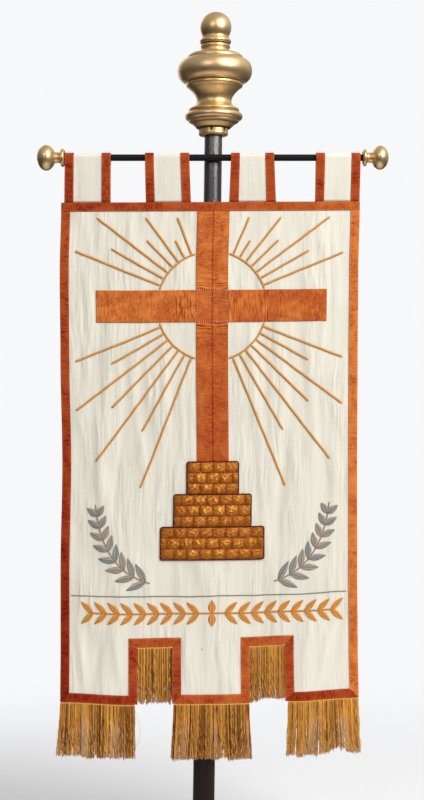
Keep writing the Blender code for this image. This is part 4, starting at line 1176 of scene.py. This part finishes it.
class BANNER_OT_cross(bpy.types.Operator):
    """Make the applied velvet cross and the stitches that hold its crossing"""

    bl_idname = "banner.cross"
    bl_label = "Velvet cross"

    def execute(self, context):
        cloth = context.scene.banner_cloth
        half = CROSS_WIDTH / 2
        top, foot = BORDER_WIDTH + GAP, STEP_FIRST_V - GAP
        crossing = (Seam(CROSS_V - half - top, -1, 1.0), Seam(CROSS_V + half - top, 1, 1.0))
        add_velvet("cross_upright", ((CROSS_U - half, top), (CROSS_U - half, foot),
                                     (CROSS_U + half, foot), (CROSS_U + half, top)), cloth, 41.0,
                   crossing, crease=True)
        inner = (CROSS_U - half - GAP, CROSS_U + half + GAP)
        for seed, (name, end, start) in enumerate(zip(("cross_arm_left", "cross_arm_right"),
                                                      CROSS_ARM_ENDS, inner)):
            cut = ((end, CROSS_V - half), (start, CROSS_V - half),
                   (start, CROSS_V + half), (end, CROSS_V + half))
            reach = abs(start - end)
            folds = (Seam(ARM_FOLD_INSET, 1, 0.25), Seam(reach * ARM_CRUSH_AT[name], 1, 0.7), Seam(reach, -1, 0.9))
            add_velvet(name, cut, cloth, 47.0 + seed, folds)
        add_piece("crossing_stitches", crossing_stitches(half),
                  paint_cord((0.78, 0.27, 0.13), "crossing_thread", 0.0016, 0.0016))
        return {"FINISHED"}


def crossing_stitches(half, pitch=0.0042, reach=0.0034, radius=0.0007):
    """Ladder stitches over the four sides of the crossing: short arcs that leave the pile on one
    side of the seam and enter it on the other."""
    count = int(2 * half / pitch)
    run = (np.arange(count) + 0.5) / count * 2 * half - half
    zero, side = np.zeros(count), np.full(count, half)
    centre = np.concatenate([np.stack([-side, run], -1), np.stack([side, run], -1),
                             np.stack([run, -side], -1), np.stack([run, side], -1)])
    across = np.repeat([[1.0, 0.0], [1.0, 0.0], [0.0, 1.0], [0.0, 1.0]], count, axis=0)
    t = np.linspace(-1, 1, 7)[None, :, None]
    turn = np.linspace(0, 2 * pi, 5, endpoint=False)[None, None, :]
    sideways = radius * np.cos(turn)
    u = CROSS_U + centre[:, 0, None, None] + across[:, 0, None, None] * t * reach \
        + across[:, 1, None, None] * sideways
    v = CROSS_V + centre[:, 1, None, None] + across[:, 1, None, None] * t * reach \
        + across[:, 0, None, None] * sideways
    w = VELVET_BACK + VELVET_THICKNESS - 0.0005 + 0.0009 * (1 - t ** 4) + radius * np.sin(turn)
    uv = np.stack(np.broadcast_arrays(sideways + 0 * u, t * reach + 0 * u), -1)
    return tubes(hang(u, v, w + 0 * u), uv)


def tab_path(radius, foot_depth, foot_height):
    """(y, z) points up the back leg, over the crossbar and down the front leg, which leave the
    arc where the line to the foot touches it."""
    drop = CROSSBAR_HEIGHT - foot_height
    tangent = pi / 2 - atan2(foot_depth, drop) - acos(radius / hypot(foot_depth, drop))
    share = np.linspace(0, 1, TAB_LEG_STEPS + 1)[:-1]
    leg = np.stack([-foot_depth + share * (foot_depth - radius * cos(tangent)),
                    foot_height + share * (drop - radius * np.sin(tangent))], -1)
    angle = np.linspace(-tangent, pi + tangent, TAB_ARC_STEPS + 1)
    arc = np.stack([-radius * np.cos(angle), CROSSBAR_HEIGHT + radius * np.sin(angle)], -1)
    path = np.concatenate([leg, arc, (leg * (-1, 1))[::-1]])[::-1]
    return path


def looped_strip(tab, low, high, radius, thickness, foot_depth, tone):
    """A strip between two shares of a tab's width, carried over the crossbar: across it blends
    from the tab's foot to its top, and its edges are rolled off."""
    wide = tab.top_right - tab.top_left
    inner_share = rolled_stations((high - low) * wide, 0.006 if high - low > 0.5 else 0.0022)
    share = low + inner_share * (high - low)
    foot_x = tab.foot_left + share * (tab.foot_right - tab.foot_left)
    top_x = tab.top_left + share * (tab.top_right - tab.top_left)
    foot = top_edge(foot_x.mean()) + GAP
    grids = []
    for offset in (thickness, 0.0):
        y, z = tab_path(radius + offset, foot_depth + offset, foot).T
        risen = ((z - foot) / (CROSSBAR_HEIGHT - foot)).clip(0, 1)
        sag = 0.0010 * np.sin(pi * risen) * np.sign(y) * (risen < 1)
        x = foot_x[None, :] + risen[:, None] * (top_x - foot_x)[None, :]
        depth = (CLOTH_Y + y + sag)[:, None] + 0 * x
        rise = z[:, None] + (top_edge(foot_x) - top_edge(foot_x.mean()))[None, :] * (1 - risen)[:, None]
        grids.append(np.stack([x, depth, rise], -1))
    outer, inner = grids
    roll = 0.45 + 0.55 * rim(inner_share, (high - low) * wide)[None, :, None]
    outer = inner + (outer - inner) * roll
    travelled = np.concatenate([[0], np.cumsum(np.hypot(np.diff(y), np.diff(z)))])
    uv = np.stack(np.broadcast_arrays((share * wide)[None, :], travelled[:, None]), -1)
    shade = tone.start + (tone.end - tone.start) * (travelled / travelled[-1])
    inset = np.minimum(inner_share, 1 - inner_share) * (high - low) * wide
    # Painted shade darkens the rolled edges
    shade = shade[:, None] + 0.35 * np.exp(-((inset - 0.0012) / 0.0007) ** 2) - 0.3 * (1 - roll[0, :, 0])
    return shell(outer, inner, uv, shade), travelled[-1]


class BANNER_OT_tabs(bpy.types.Operator):
    """Make the four tabs over the crossbar, each with velvet along both edges"""

    bl_idname = "banner.tabs"
    bl_label = "Tabs"

    def execute(self, context):
        cloth = context.scene.banner_cloth
        radius = CROSSBAR_RADIUS + GAP
        leg_inset = GAP / 2
        trim_gap = TAB_THICKNESS + GAP
        # The left trims are painted a little darker than the right ones, as painted shade away from the light
        tones = {"left": Tone(0.54, 0.54), "right": Tone(0.56, 0.64)}
        for number, tab in enumerate(TABS):
            wide = tab.top_right - tab.top_left
            silk = paint_silk(cloth, f"silk_{tab.name}", 4.0 + number, 0.45)
            surface, length = looped_strip(tab, 0.0, 1.0, radius, TAB_THICKNESS, leg_inset, Tone(1, 1))
            loop = add_piece(f"silk_{tab.name}", surface, silk, [tab.name])
            share = TAB_TRIM_WIDTH / wide
            for side, low, high in (("left", 0.0, share), ("right", 1 - share, 1.0)):
                surface, length = looped_strip(tab, low, high, radius + trim_gap, VELVET_THICKNESS,
                                               leg_inset + trim_gap, tones[side])
                name = f"{tab.name}_trim_{side}"
                velvet = paint_velvet(cloth, f"velvet_{name}", 60.0 + 3 * number + (side == "left"))
                trim = add_piece(f"velvet_{name}", surface, velvet, [name])
        return {"FINISHED"}


# Stitching


def couched(path, half_width, height, wobble=0.0, seed=0.0, ring=False):
    """A cord laid on the cloth along a flat path: a half round, half_width to each side and height
    high, rounded off at both ends, on a line that strays a little from the path."""
    step = np.gradient(path, axis=0)
    if ring:
        step = (np.roll(path, -1, axis=0) - np.roll(path, 1, axis=0)) / 2
    reach = np.hypot(step[:, 0], step[:, 1])
    travelled = np.concatenate([[0], np.cumsum((reach[1:] + reach[:-1]) / 2)])
    across = np.stack([-step[:, 1], step[:, 0]], -1) / reach[:, None]
    stray = wobble * (np.sin(travelled * 140 + seed) + 0.6 * np.sin(travelled * 57 + 2.3 * seed))
    full = np.ones(len(path)) if ring else np.maximum(rim(travelled / travelled[-1], travelled[-1], 0.003), 0.15)
    turn = np.concatenate([np.linspace(0, pi, 8), [1.25 * pi, 1.75 * pi]])
    aside = half_width * full[:, None] * np.cos(turn)
    u = path[:, 0, None] + across[:, 0, None] * (aside + stray[:, None])
    v = path[:, 1, None] + across[:, 1, None] * (aside + stray[:, None])
    w = VELVET_BACK - 0.0004 + (0.0004 + height * full[:, None]) * np.maximum(np.sin(turn), 0)
    uv = np.stack(np.broadcast_arrays(aside, travelled[:, None]), -1)
    return tubes(hang(u, v, w)[None], uv[None], np.ones(1)[:, None, None], ring)


def ray_length(angle, to_right, up):
    """From the middle of the cross to a little short of the border, or to the longest reach."""
    edge = CUT_WIDTH - CROSS_U if to_right > 0 else CROSS_U
    limits = [(edge - BORDER_WIDTH - RAY_BORDER_MARGIN) / cos(angle), RAY_LONGEST]
    if up:
        limits.append((CROSS_V - BORDER_WIDTH - RAY_BORDER_MARGIN) / np.sin(angle))
    return min(limits)


class BANNER_OT_rays(bpy.types.Operator):
    """Make the couched arcs and rays in the four quarters of the cross"""

    bl_idname = "banner.rays"
    bl_label = "Rays"

    def execute(self, context):
        stitch = context.scene.banner_stitch
        cord = paint_cord(tuple(stitch.cord), "ray_cord", stitch.twist, RAY_WIDTH / 2)
        slack = np.arcsin((CROSS_WIDTH / 2 + GAP * 2) / (RAY_RING_RADIUS - RAY_RING_WIDTH / 2))
        angles = np.radians(np.linspace(RAY_FIRST_ANGLE, RAY_LAST_ANGLE, RAYS_PER_QUARTER))
        for name, to_right, up in (("rays_upper_left", -1, True), ("rays_upper_right", 1, True),
                                   ("rays_lower_left", -1, False), ("rays_lower_right", 1, False)):
            middle = np.array([CROSS_U, CROSS_V])
            outwards = np.array([to_right, -1 if up else 1])
            sweep = np.linspace(slack, pi / 2 - slack, 48)
            arc = middle + outwards * RAY_RING_RADIUS * np.stack([np.cos(sweep), np.sin(sweep)], -1)
            cords = [couched(arc, RAY_RING_WIDTH / 2, RAY_HEIGHT, 0.00012)]
            for k, angle in enumerate(angles):
                reach = ray_length(angle, to_right, up) * (1.0 if k % 2 == 0 else RAY_SHORT_SHARE)
                radii = np.arange(RAY_RING_RADIUS, reach, 0.005)
                radii = np.append(radii, reach)[:, None]
                ray = middle + radii * outwards * np.array([cos(angle), np.sin(angle)])
                cords.append(couched(ray, RAY_WIDTH / 2, RAY_HEIGHT, 0.00018, 3.1 * k))
            add_piece(f"couched_{name}", joined(cords), cord, [name])
        return {"FINISHED"}


class BANNER_OT_steps(bpy.types.Operator):
    """Make the three padded gold steps and the brown cord round them"""

    bl_idname = "banner.steps"
    bl_label = "Padded steps"

    def execute(self, context):
        stitch = context.scene.banner_stitch
        satin = paint_padded(stitch, "padded_gold")
        outlines = []
        for k, (name, width) in enumerate(zip(("step_top", "step_middle", "step_bottom"), STEP_WIDTHS)):
            top = STEP_FIRST_V + k * (STEP_HEIGHT + GAP)
            step = add_piece(f"padded_{name}", padded_step(top, width, k), satin, [name])
            outlines.append(couched(rounded_frame(CROSS_U - width / 2, top, width, STEP_HEIGHT),
                                    0.0015, 0.0028, ring=True))
        cord = paint_cord(tuple(stitch.outline), "outline_cord", stitch.twist, 0.0015)
        add_piece("step_outlines", joined(outlines), cord)
        return {"FINISHED"}


def padded_step(top, width, number):
    """Courses of pillows in bond, every other course shifted by half a pillow. Each pillow is a
    root of the sine both ways, under a root of the sine across the whole step. Two sets of drag
    lines cross each pillow at its own slants, as one less the size of a sine, cubed."""
    u = np.linspace(0, width, int(width / 0.0011) + 1)[None, :]
    v = np.linspace(0, STEP_HEIGHT, STEP_COURSES * 18 + 1)[:, None]
    deep = STEP_HEIGHT / STEP_COURSES
    course = np.minimum((v / deep).astype(int), STEP_COURSES - 1)
    shifted = u / STEP_PILLOW_WIDTH + 0.5 * ((course + number) % 2)
    pillow = shifted.astype(int)
    p, q = shifted % 1, v / deep - course
    whole = (np.sin(pi * u / width) * np.sin(pi * v / STEP_HEIGHT)) ** 0.18
    puff = (np.sin(pi * p) * np.sin(pi * np.clip(q, 0, 1))).clip(0) ** 0.42
    own = np.random.default_rng(7 + number).uniform(0, 1, (6, STEP_COURSES, pillow.max() + 1))
    own = own[:, course, pillow]
    drag = 0
    for slant, phase, weight in ((own[0], own[1], 1.0), (-own[2], own[3], 0.7)):
        turn = 0.3 + 1.1 * np.abs(slant)
        line = (p - 0.5) * np.cos(turn) * 1.9 + (q - 0.5) * np.sin(turn) * np.sign(slant + 1e-9) * 1.5
        bend = 0.35 * np.sin(2 * pi * (q * own[4] + phase))
        drag = drag + weight * (1 - np.abs(np.sin(pi * (line * 1.6 + bend + phase)))) ** 3
    lit = whole * (0.20 + 0.80 * puff) * (0.80 + 0.20 * own[5]) + 0.30 * drag * puff * whole
    front = hang(CROSS_U - width / 2 + u, top + v, VELVET_BACK + STEP_EDGE + STEP_CROWN * lit)
    u, v = np.broadcast_arrays(CROSS_U - width / 2 + u, top + v)
    # The tone is painted light and shade: low in the seams and towards the step's edges, lighter at the top of
    # each pillow as if lit from above, and lighter along the drag lines
    shine = lit * (1.25 - 0.55 * q) + 0.25 * drag * puff
    return shell(front, hang(u, v, VELVET_BACK), np.stack([u, v], -1), np.clip(shine, 0, 1.6))


def rounded_frame(left, top, width, height, radius=0.004):
    """A closed flat path round a rectangle with rounded corners."""
    angle = np.linspace(0, pi / 2, 5)
    corner = np.stack([np.cos(angle), np.sin(angle)], -1) * radius
    turns = []
    for across, down, quarter in ((1, 1, 0), (-1, 1, 1), (-1, -1, 2), (1, -1, 3)):
        spin = np.array([[cos(quarter * pi / 2), np.sin(quarter * pi / 2)],
                         [-np.sin(quarter * pi / 2), cos(quarter * pi / 2)]])
        place = np.array([left + width / 2 + across * (width / 2 - radius),
                          top + height / 2 + down * (height / 2 - radius)])
        turns.append(place + corner @ spin)
    path = np.concatenate([*turns, turns[0][:1]])
    spans = [np.linspace(start, end, max(2, int(np.hypot(*(end - start)) / 0.004) + 1))[:-1]
             for start, end in zip(path, path[1:])]
    return np.concatenate(spans)


def stitched_leaf(root, direction, length, half_width, tone):
    """A satin-stitched leaf: its half width swells to the widest place and closes at the tip, and
    its height is a half round on each side of a sunken rib."""
    a = np.concatenate([np.linspace(0, 0.96, 14), [0.985, 1.0]])[:, None]
    b = np.linspace(-1, 1, 11)[None, :]
    swelling = np.clip(a / LEAF_WIDEST_AT, 0, 1)
    closing = np.clip((a - LEAF_WIDEST_AT) / (1 - LEAF_WIDEST_AT), 0, 1)
    start = LEAF_ROOT / 2 / half_width
    outline = np.where(a < LEAF_WIDEST_AT, start + (1 - start) * np.sin(swelling * pi / 2),
                       0.03 + 0.97 * np.cos(closing * pi / 2) ** 0.8)
    full = np.sqrt(np.maximum(1 - b ** 2, 0)) * np.minimum(1, outline * 1.6)
    rib = 1 - 0.45 * np.exp(-((b / 0.16) ** 2))
    height = 0.0002 + STITCH_HEIGHT * full * rib
    across = np.array([-direction[1], direction[0]])
    u = root[0] + direction[0] * a * length + across[0] * b * half_width * outline
    v = root[1] + direction[1] * a * length + across[1] * b * half_width * outline
    uv = np.stack(np.broadcast_arrays(b * half_width * outline, a * length + 0 * b), -1)
    shade = tone[0] + (tone[1] - tone[0]) * (b > 0) + 0 * a
    return shell(hang(u, v, VELVET_BACK + height), hang(u, v, VELVET_BACK - 0.0004), uv, shade)


def turned_by(direction, angle):
    """A flat direction turned by an angle."""
    return np.array([direction[0] * cos(angle) - direction[1] * np.sin(angle),
                     direction[0] * np.sin(angle) + direction[1] * cos(angle)])


class BANNER_OT_leaves(bpy.types.Operator):
    """Make the two stitched branches, the leaf band and the stitched ground line"""

    bl_idname = "banner.leaves"
    bl_label = "Stitched leaves"

    def execute(self, context):
        stitch = context.scene.banner_stitch
        leafage = paint_satin_leaf(tuple(stitch.leaf), tuple(stitch.leaf_warm), "blue_leaf_thread",
                                   BRANCH_LEAF_HALF_WIDTH)
        t = np.linspace(0, 1, 160)[:, None]
        start, bend, end = (np.array(place) for place in (BRANCH_START, BRANCH_BEND, BRANCH_END))
        bow = (1 - t) ** 2 * start + 2 * t * (1 - t) * bend + t ** 2 * end
        travelled = np.concatenate([[0], np.cumsum(np.hypot(*np.diff(bow, axis=0).T))])
        for name, to_right in (("branch_left", -1), ("branch_right", 1)):
            path = bow * (to_right, 1) + (CROSS_U, 0.0)
            along = np.gradient(path, axis=0)
            along /= np.hypot(along[:, 0], along[:, 1])[:, None]
            grown = [couched(path, STEM_HALF_WIDTH, STITCH_HEIGHT)]
            for k in range(BRANCH_LEAVES):
                place = np.searchsorted(travelled, BRANCH_FIRST_LEAF + k * BRANCH_LEAF_PITCH)
                for side in (1, -1):
                    direction = turned_by(along[place], -side * radians(LEAF_ANGLE))
                    length = BRANCH_LEAF_LENGTH * (1 - BRANCH_LEAF_TAPER * k)
                    tone = (0.10 + 0.25 * (k % 3), 0.75 - 0.15 * (k % 2))
                    grown.append(stitched_leaf(path[place], direction, length,
                                               BRANCH_LEAF_HALF_WIDTH, tone[::side]))
            add_piece(f"stitched_{name}", joined(grown), leafage, [name])
        gold = paint_satin_leaf(tuple(stitch.satin), tuple(stitch.cord), "gold_leaf_thread",
                                BAND_LEAF_HALF_WIDTH)
        left, right = BAND_ENDS
        middle = (left + right) / 2
        stem = np.stack([np.linspace(left, right, 120), np.full(120, BAND_V)], -1)
        grown = [couched(stem, BAND_STEM_HALF_WIDTH, STITCH_HEIGHT)]
        pairs = int((middle - left - LEAF_ROOT) / BAND_LEAF_PITCH)
        slant = radians(LEAF_ANGLE)
        for k in range(-pairs, pairs + 1):
            root = (middle + k * BAND_LEAF_PITCH, BAND_V)
            for side in (1, -1):
                if k == 0:
                    grown.append(stitched_leaf(root, (0.0, -side), BAND_MIDDLE_LENGTH,
                                               BAND_MIDDLE_HALF_WIDTH, (0.2, 0.8)))
                    continue
                direction = (np.sign(k) * cos(slant), -side * np.sin(slant))
                grown.append(stitched_leaf(root, direction, BAND_LEAF_LENGTH,
                                           BAND_LEAF_HALF_WIDTH, (0.15, 0.85)))
        add_piece("stitched_leaf_band", joined(grown), gold, ["leaf_band"])
        u = np.linspace(BORDER_WIDTH + 0.002, CUT_WIDTH - BORDER_WIDTH - 0.002, 160)
        ground = np.stack([u, 0.7885 + 0.0006 * np.sin(u * 31)], -1)
        add_piece("stitched_ground_line", couched(ground, 0.0010, 0.0008, 0.0002),
                  paint_cord(tuple(stitch.stem), "stem_thread", stitch.twist, 0.0010))
        return {"FINISHED"}


# Fringe


def fringe_threads(fringe, settings, number):
    """Threads from the heading down: each drifts with the fringe's flare and sway, is drawn to the
    middle of its bundle, and kinks a little on the way to its own uneven end."""
    uneven = np.random.default_rng(100 + number)
    width = fringe.right - fringe.left
    count = 4 * int(width / settings.pitch)
    share = (np.arange(count) + 0.5) / count
    u = fringe.left - FRINGE_SPREAD + share * (width + 2 * FRINGE_SPREAD) + uneven.normal(0, 0.0003, count)
    bundles = int(width / 0.0060)
    edges = np.sort(uneven.uniform(0, 1, bundles - 1))
    bundle = np.searchsorted(edges, share)
    bounds = np.concatenate([[0], edges, [1]])
    centre = fringe.left + width * (bounds[bundle] + bounds[bundle + 1]) / 2
    grip = uneven.uniform(0.0, 0.13, bundles)[bundle]
    layer = uneven.uniform(-1, 1, count)
    a = np.linspace(0, 1, 17)[None, :]
    flare = fringe.flare_right * share ** 3 - fringe.flare_left * (1 - share) ** 3
    free = fringe.flare_left + fringe.flare_right > 0
    sway = (0.0016 if free else 0.0006) * np.sin(9 * share + number)
    wander = uneven.normal(0, 0.0008 if free else 0.0006, bundles)[bundle]
    aside = (flare + sway + wander)[:, None] * a ** 1.5
    aside = aside + (grip * (centre - u))[:, None] * a ** 1.3
    waves = uneven.uniform(1.0, 6.0, count)[:, None]
    phase = uneven.uniform(0, 2 * pi, count)[:, None]
    kink = uneven.gamma(1.8, 0.00050, count)[:, None]
    aside = aside + kink * a * np.sin(2 * pi * waves * a + phase)
    stray = uneven.uniform(0, 1, count) > 0.975
    aside = aside + (stray * uneven.normal(0, 0.0045, count))[:, None] * a ** 2.5
    depth = layer[:, None] * (0.0008 + 0.0016 * a)
    depth = depth + 0.0014 * np.sin(23 * share + 2 * number)[:, None] * a
    depth = depth + kink * a * np.cos(2 * pi * waves * a + phase)
    dip = fringe.dip * np.exp(-(((share - fringe.dip_at) / DIP_WIDTH) ** 2))
    length = fringe.length - HEADING_HEIGHT / 2 - dip * uneven.uniform(0.7, 1.25, count)
    length = length + uneven.normal(0, 0.0016, count) + uneven.normal(0, 0.0022, bundles)[bundle]
    length = length - (uneven.uniform(0, 1, count) > 0.90) * uneven.uniform(0, 0.03, count)
    length = length + (uneven.uniform(0, 1, count) > 0.985) * uneven.uniform(0, 0.006, count)
    path_u = u[:, None] + aside
    if not free:
        path_u = np.clip(path_u, fringe.left - FRINGE_SPREAD, fringe.right + FRINGE_SPREAD)
    path_v = fringe.top + HEADING_HEIGHT / 2 + length[:, None] * a
    turn = (2 * pi * np.arange(3) / 3)[None, None, :] + phase[:, :, None]
    radius = settings.thickness / 2 * uneven.uniform(0.75, 1.25, count)[:, None, None]
    radius = radius * (1 - 0.35 * a[:, :, None] ** 6)
    around = radius * np.cos(turn)
    points = hang(path_u[..., None] + around, path_v[..., None],
                  depth[..., None] + radius * np.sin(turn))
    uv = np.stack(np.broadcast_arrays(u[:, None, None] + around, path_v[..., None]), -1)
    strand = (share * width / STRAND_WIDTH).astype(int)
    # Threads further back, lower in layer, get painted shade
    tone = fringe.tone + 0.13 * layer + uneven.normal(0, 0.04, bundles)[bundle]
    tone = tone + uneven.normal(0, 0.12, strand.max() + 1)[strand] + uneven.normal(0, 0.28, count)
    patch = (0.5 + 0.5 * np.sin(share * 15 + 2.9 * number - 3.4)) ** 3
    worn = uneven.uniform(0, 1, count) < fringe.worn * patch
    tone = np.clip(tone, 0.0, 0.74)[:, None] + 0.26 * a ** 8
    tone = np.where(worn[:, None], tone + (0.9 - tone) * np.clip(a * 3 - 0.3, 0, 1), tone)
    return tubes(points, uv, tone[..., None])


def fringe_heading(fringe):
    """The woven heading: a rounded band that swells and shrinks with its braid."""
    u = np.arange(fringe.left, fringe.right, HEADING_BRAID_PITCH / 5)[:, None]
    turn = (2 * pi * np.arange(12) / 12)[None, :]
    braid = 0.86 + 0.14 * np.sin(2 * pi * u / HEADING_BRAID_PITCH + 1.2 * np.sign(np.sin(turn)))
    v = fringe.top - HEADING_TUCK + HEADING_HEIGHT / 2 + HEADING_HEIGHT / 2 * np.sin(turn) * braid
    w = HEADING_DEPTH / 2 * np.cos(turn) * braid * 1.3
    points = hang(u + 0 * turn, v, w)
    uv = np.stack(np.broadcast_arrays(u + 0 * turn, v * 2), -1)
    return tubes(points[None], uv[None], np.full((1, 1, 1), 0.72))


def loose_thread(settings):
    """One thread that has come out of the left fringe, on a curve pulled by its flat points."""
    a = np.linspace(0, 1, 25)[:, None]
    choose = (1, 4, 6, 4, 1)
    path = sum(c * (1 - a) ** (4 - k) * a ** k * np.array(point)
               for k, (c, point) in enumerate(zip(choose, LOOSE_THREAD)))
    turn = (2 * pi * np.arange(4) / 4)[None, :]
    radius = settings.thickness * 0.38
    along = np.gradient(path, axis=0)
    along /= np.hypot(along[:, 0], along[:, 1])[:, None]
    u = path[:, 0, None] - along[:, 1, None] * radius * np.cos(turn)
    v = path[:, 1, None] + along[:, 0, None] * radius * np.cos(turn)
    w = 0.003 * np.sin(pi * a) + radius * np.sin(turn)
    uv = np.stack(np.broadcast_arrays(radius * np.cos(turn) + 0 * u, v), -1)
    return tubes(hang(u, v, w)[None], uv[None], np.full((1, 1, 1), 0.74))


class BANNER_OT_fringes(bpy.types.Operator):
    """Make the five gold fringes, thread by thread, with their headings"""

    bl_idname = "banner.fringes"
    bl_label = "Fringes"

    def execute(self, context):
        settings = context.scene.banner_fringe
        thread = paint_fringe(settings, "fringe_thread")
        for number, fringe in enumerate(FRINGES):
            surfaces = [fringe_threads(fringe, settings, number), fringe_heading(fringe)]
            if fringe.name == "fringe_left":
                surfaces.append(loose_thread(settings))
            add_piece(f"threads_{fringe.name}", joined(surfaces), thread, [fringe.name])
        return {"FINISHED"}


# Stage


def soft_light(name, place, towards, size, power):
    """A large square light that faces a point."""
    lamp = bpy.data.lights.new(name, "AREA")
    lamp.shape = "SQUARE"
    lamp.size = size
    lamp.energy = power
    holder = bpy.data.objects.new(name, lamp)
    holder.location = place
    holder.visible_camera = False
    aim(holder, place, towards)
    bpy.context.scene.collection.objects.link(holder)


def aim(holder, place, towards):
    """Turns an object at a place so that its -Z looks towards a point."""
    from mathutils import Vector
    holder.rotation_euler = (Vector(towards) - Vector(place)).to_track_quat("-Z", "Y").to_euler()


class BANNER_OT_stage(bpy.types.Operator):
    """Make the pale floor, the soft lights and the camera"""

    bl_idname = "banner.stage"
    bl_label = "Stage"

    def execute(self, context):
        stage = context.scene.banner_stage
        scene = context.scene
        scene.view_settings.view_transform = "Standard"
        self.make_floor(stage)
        self.make_surround(scene, stage)
        middle = (VIEW_ACROSS, CLOTH_Y, VIEW_HEIGHT)
        soft_light("key_light", (2.1, -2.3, 2.9), middle, 2.3, stage.key)
        soft_light("fill_light", (-1.3, -3.5, 2.7), middle, 1.6, stage.fill)
        soft_light("back_light", (-0.9, 3.4, 2.4), middle, 3.4, stage.back)
        lens = bpy.data.cameras.new("camera")
        lens.sensor_width = 36.0
        lens.lens = lens.sensor_width * stage.distance / VIEW_SPAN
        camera = bpy.data.objects.new("camera", lens)
        camera.location = (VIEW_ACROSS, CLOTH_Y - stage.distance, VIEW_HEIGHT)
        camera.rotation_euler = (pi / 2, 0, 0)
        scene.collection.objects.link(camera)
        scene.camera = camera
        return {"FINISHED"}

    def make_floor(self, stage):
        """A disc whose colour fades out towards its rim, so that no edge shows."""
        radius = np.linspace(0.0, 2.0, 13)[1:, None]
        angle = np.linspace(0, 2 * pi, 64, endpoint=False)[None, :]
        points = np.stack([radius * np.cos(angle), radius * np.sin(angle), 0 * radius * angle], -1)
        index = np.arange(points.shape[0] * 64).reshape(-1, 64)
        after = np.roll(index, -1, axis=1)
        quads = np.stack([index[:-1], index[1:], after[1:], after[:-1]], -1).reshape(-1, 4)
        faces = [*quads.tolist(), index[0].tolist()]
        mesh = bpy.data.meshes.new("floor")
        mesh.from_pydata((points.reshape(-1, 3) - (0, 0, 0.0005)).tolist(), [], faces)
        paint = Paint("pale_floor")
        x, y, _ = paint.from_object()
        away = (x * x + y * y) ** 0.5
        paint.shader.inputs["Specular IOR Level"].default_value = 0.1
        speck = paint.noise(x * 40, y * 40)
        mesh.materials.append(paint.finish(
            Base_Color=paint.scaled(tuple(stage.floor), 0.99 + speck * 0.02), Roughness=0.9,
            Alpha=1 - paint.ease(away, 0.5, 1.9)))
        floor = bpy.data.objects.new("floor", mesh)
        bpy.context.scene.collection.objects.link(floor)

    def make_surround(self, scene, stage):
        """Pale surroundings, darker below than above, and even where the camera sees them."""
        world = bpy.data.worlds.new("surround")
        scene.world = world
        nodes = Nodes(world)
        view = nodes.node("ShaderNodeTexCoord")
        height = nodes.node("ShaderNodeSeparateXYZ", None, {0: view}, 2)
        right = nodes.node("ShaderNodeSeparateXYZ", None, {0: view}, 0)
        strength = stage.surround * (0.08 + nodes.ease(height, -0.3, 0.8) * 1.6)
        strength = strength * (0.75 + nodes.ease(right, 0.1, 0.9) * 1.0)
        seen = nodes.node("ShaderNodeLightPath")
        light = nodes.tree.nodes["Background"]
        light.inputs["Color"].default_value = (*stage.backdrop, 1.0)
        nodes.feed(light.inputs["Strength"], nodes.choose(seen, strength, 1.0))


class BANNER_PT_panel(bpy.types.Panel):
    """Settings and steps of the banner"""

    bl_idname = "BANNER_PT_panel"
    bl_label = "Church banner"
    bl_space_type = "VIEW_3D"
    bl_region_type = "UI"
    bl_category = "Banner"

    def draw(self, context):
        for name, group in SETTINGS.items():
            box = self.layout.box()
            box.label(text=group.__doc__)
            settings = getattr(context.scene, name)
            for prop in group.__annotations__:
                box.prop(settings, prop)
        for step in STEPS:
            self.layout.operator(step.bl_idname)


SETTINGS = {
    "banner_metal": BannerMetalSettings,
    "banner_cloth": BannerClothSettings,
    "banner_stitch": BannerStitchSettings,
    "banner_fringe": BannerFringeSettings,
    "banner_stage": BannerStageSettings,
}

STEPS = (
    BANNER_OT_pole,
    BANNER_OT_turnings,
    BANNER_OT_tabs,
    BANNER_OT_panel,
    BANNER_OT_bindings,
    BANNER_OT_cross,
    BANNER_OT_rays,
    BANNER_OT_steps,
    BANNER_OT_leaves,
    BANNER_OT_fringes,
    BANNER_OT_stage,
)


def register():
    for group in (*SETTINGS.values(), *STEPS, BANNER_PT_panel):
        bpy.utils.register_class(group)
    for name, group in SETTINGS.items():
        setattr(bpy.types.Scene, name, PointerProperty(type=group))


def unregister():
    for name in SETTINGS:
        delattr(bpy.types.Scene, name)
    for group in (BANNER_PT_panel, *reversed(STEPS), *reversed(SETTINGS.values())):
        bpy.utils.unregister_class(group)


def main():
    register()
    bpy.ops.banner.pole()
    bpy.ops.banner.turnings()
    bpy.ops.banner.tabs()
    bpy.ops.banner.panel()
    bpy.ops.banner.bindings()
    bpy.ops.banner.cross()
    bpy.ops.banner.rays()
    bpy.ops.banner.steps()
    bpy.ops.banner.leaves()
    bpy.ops.banner.fringes()
    bpy.ops.banner.stage()


if __name__ == "__main__":
    main()
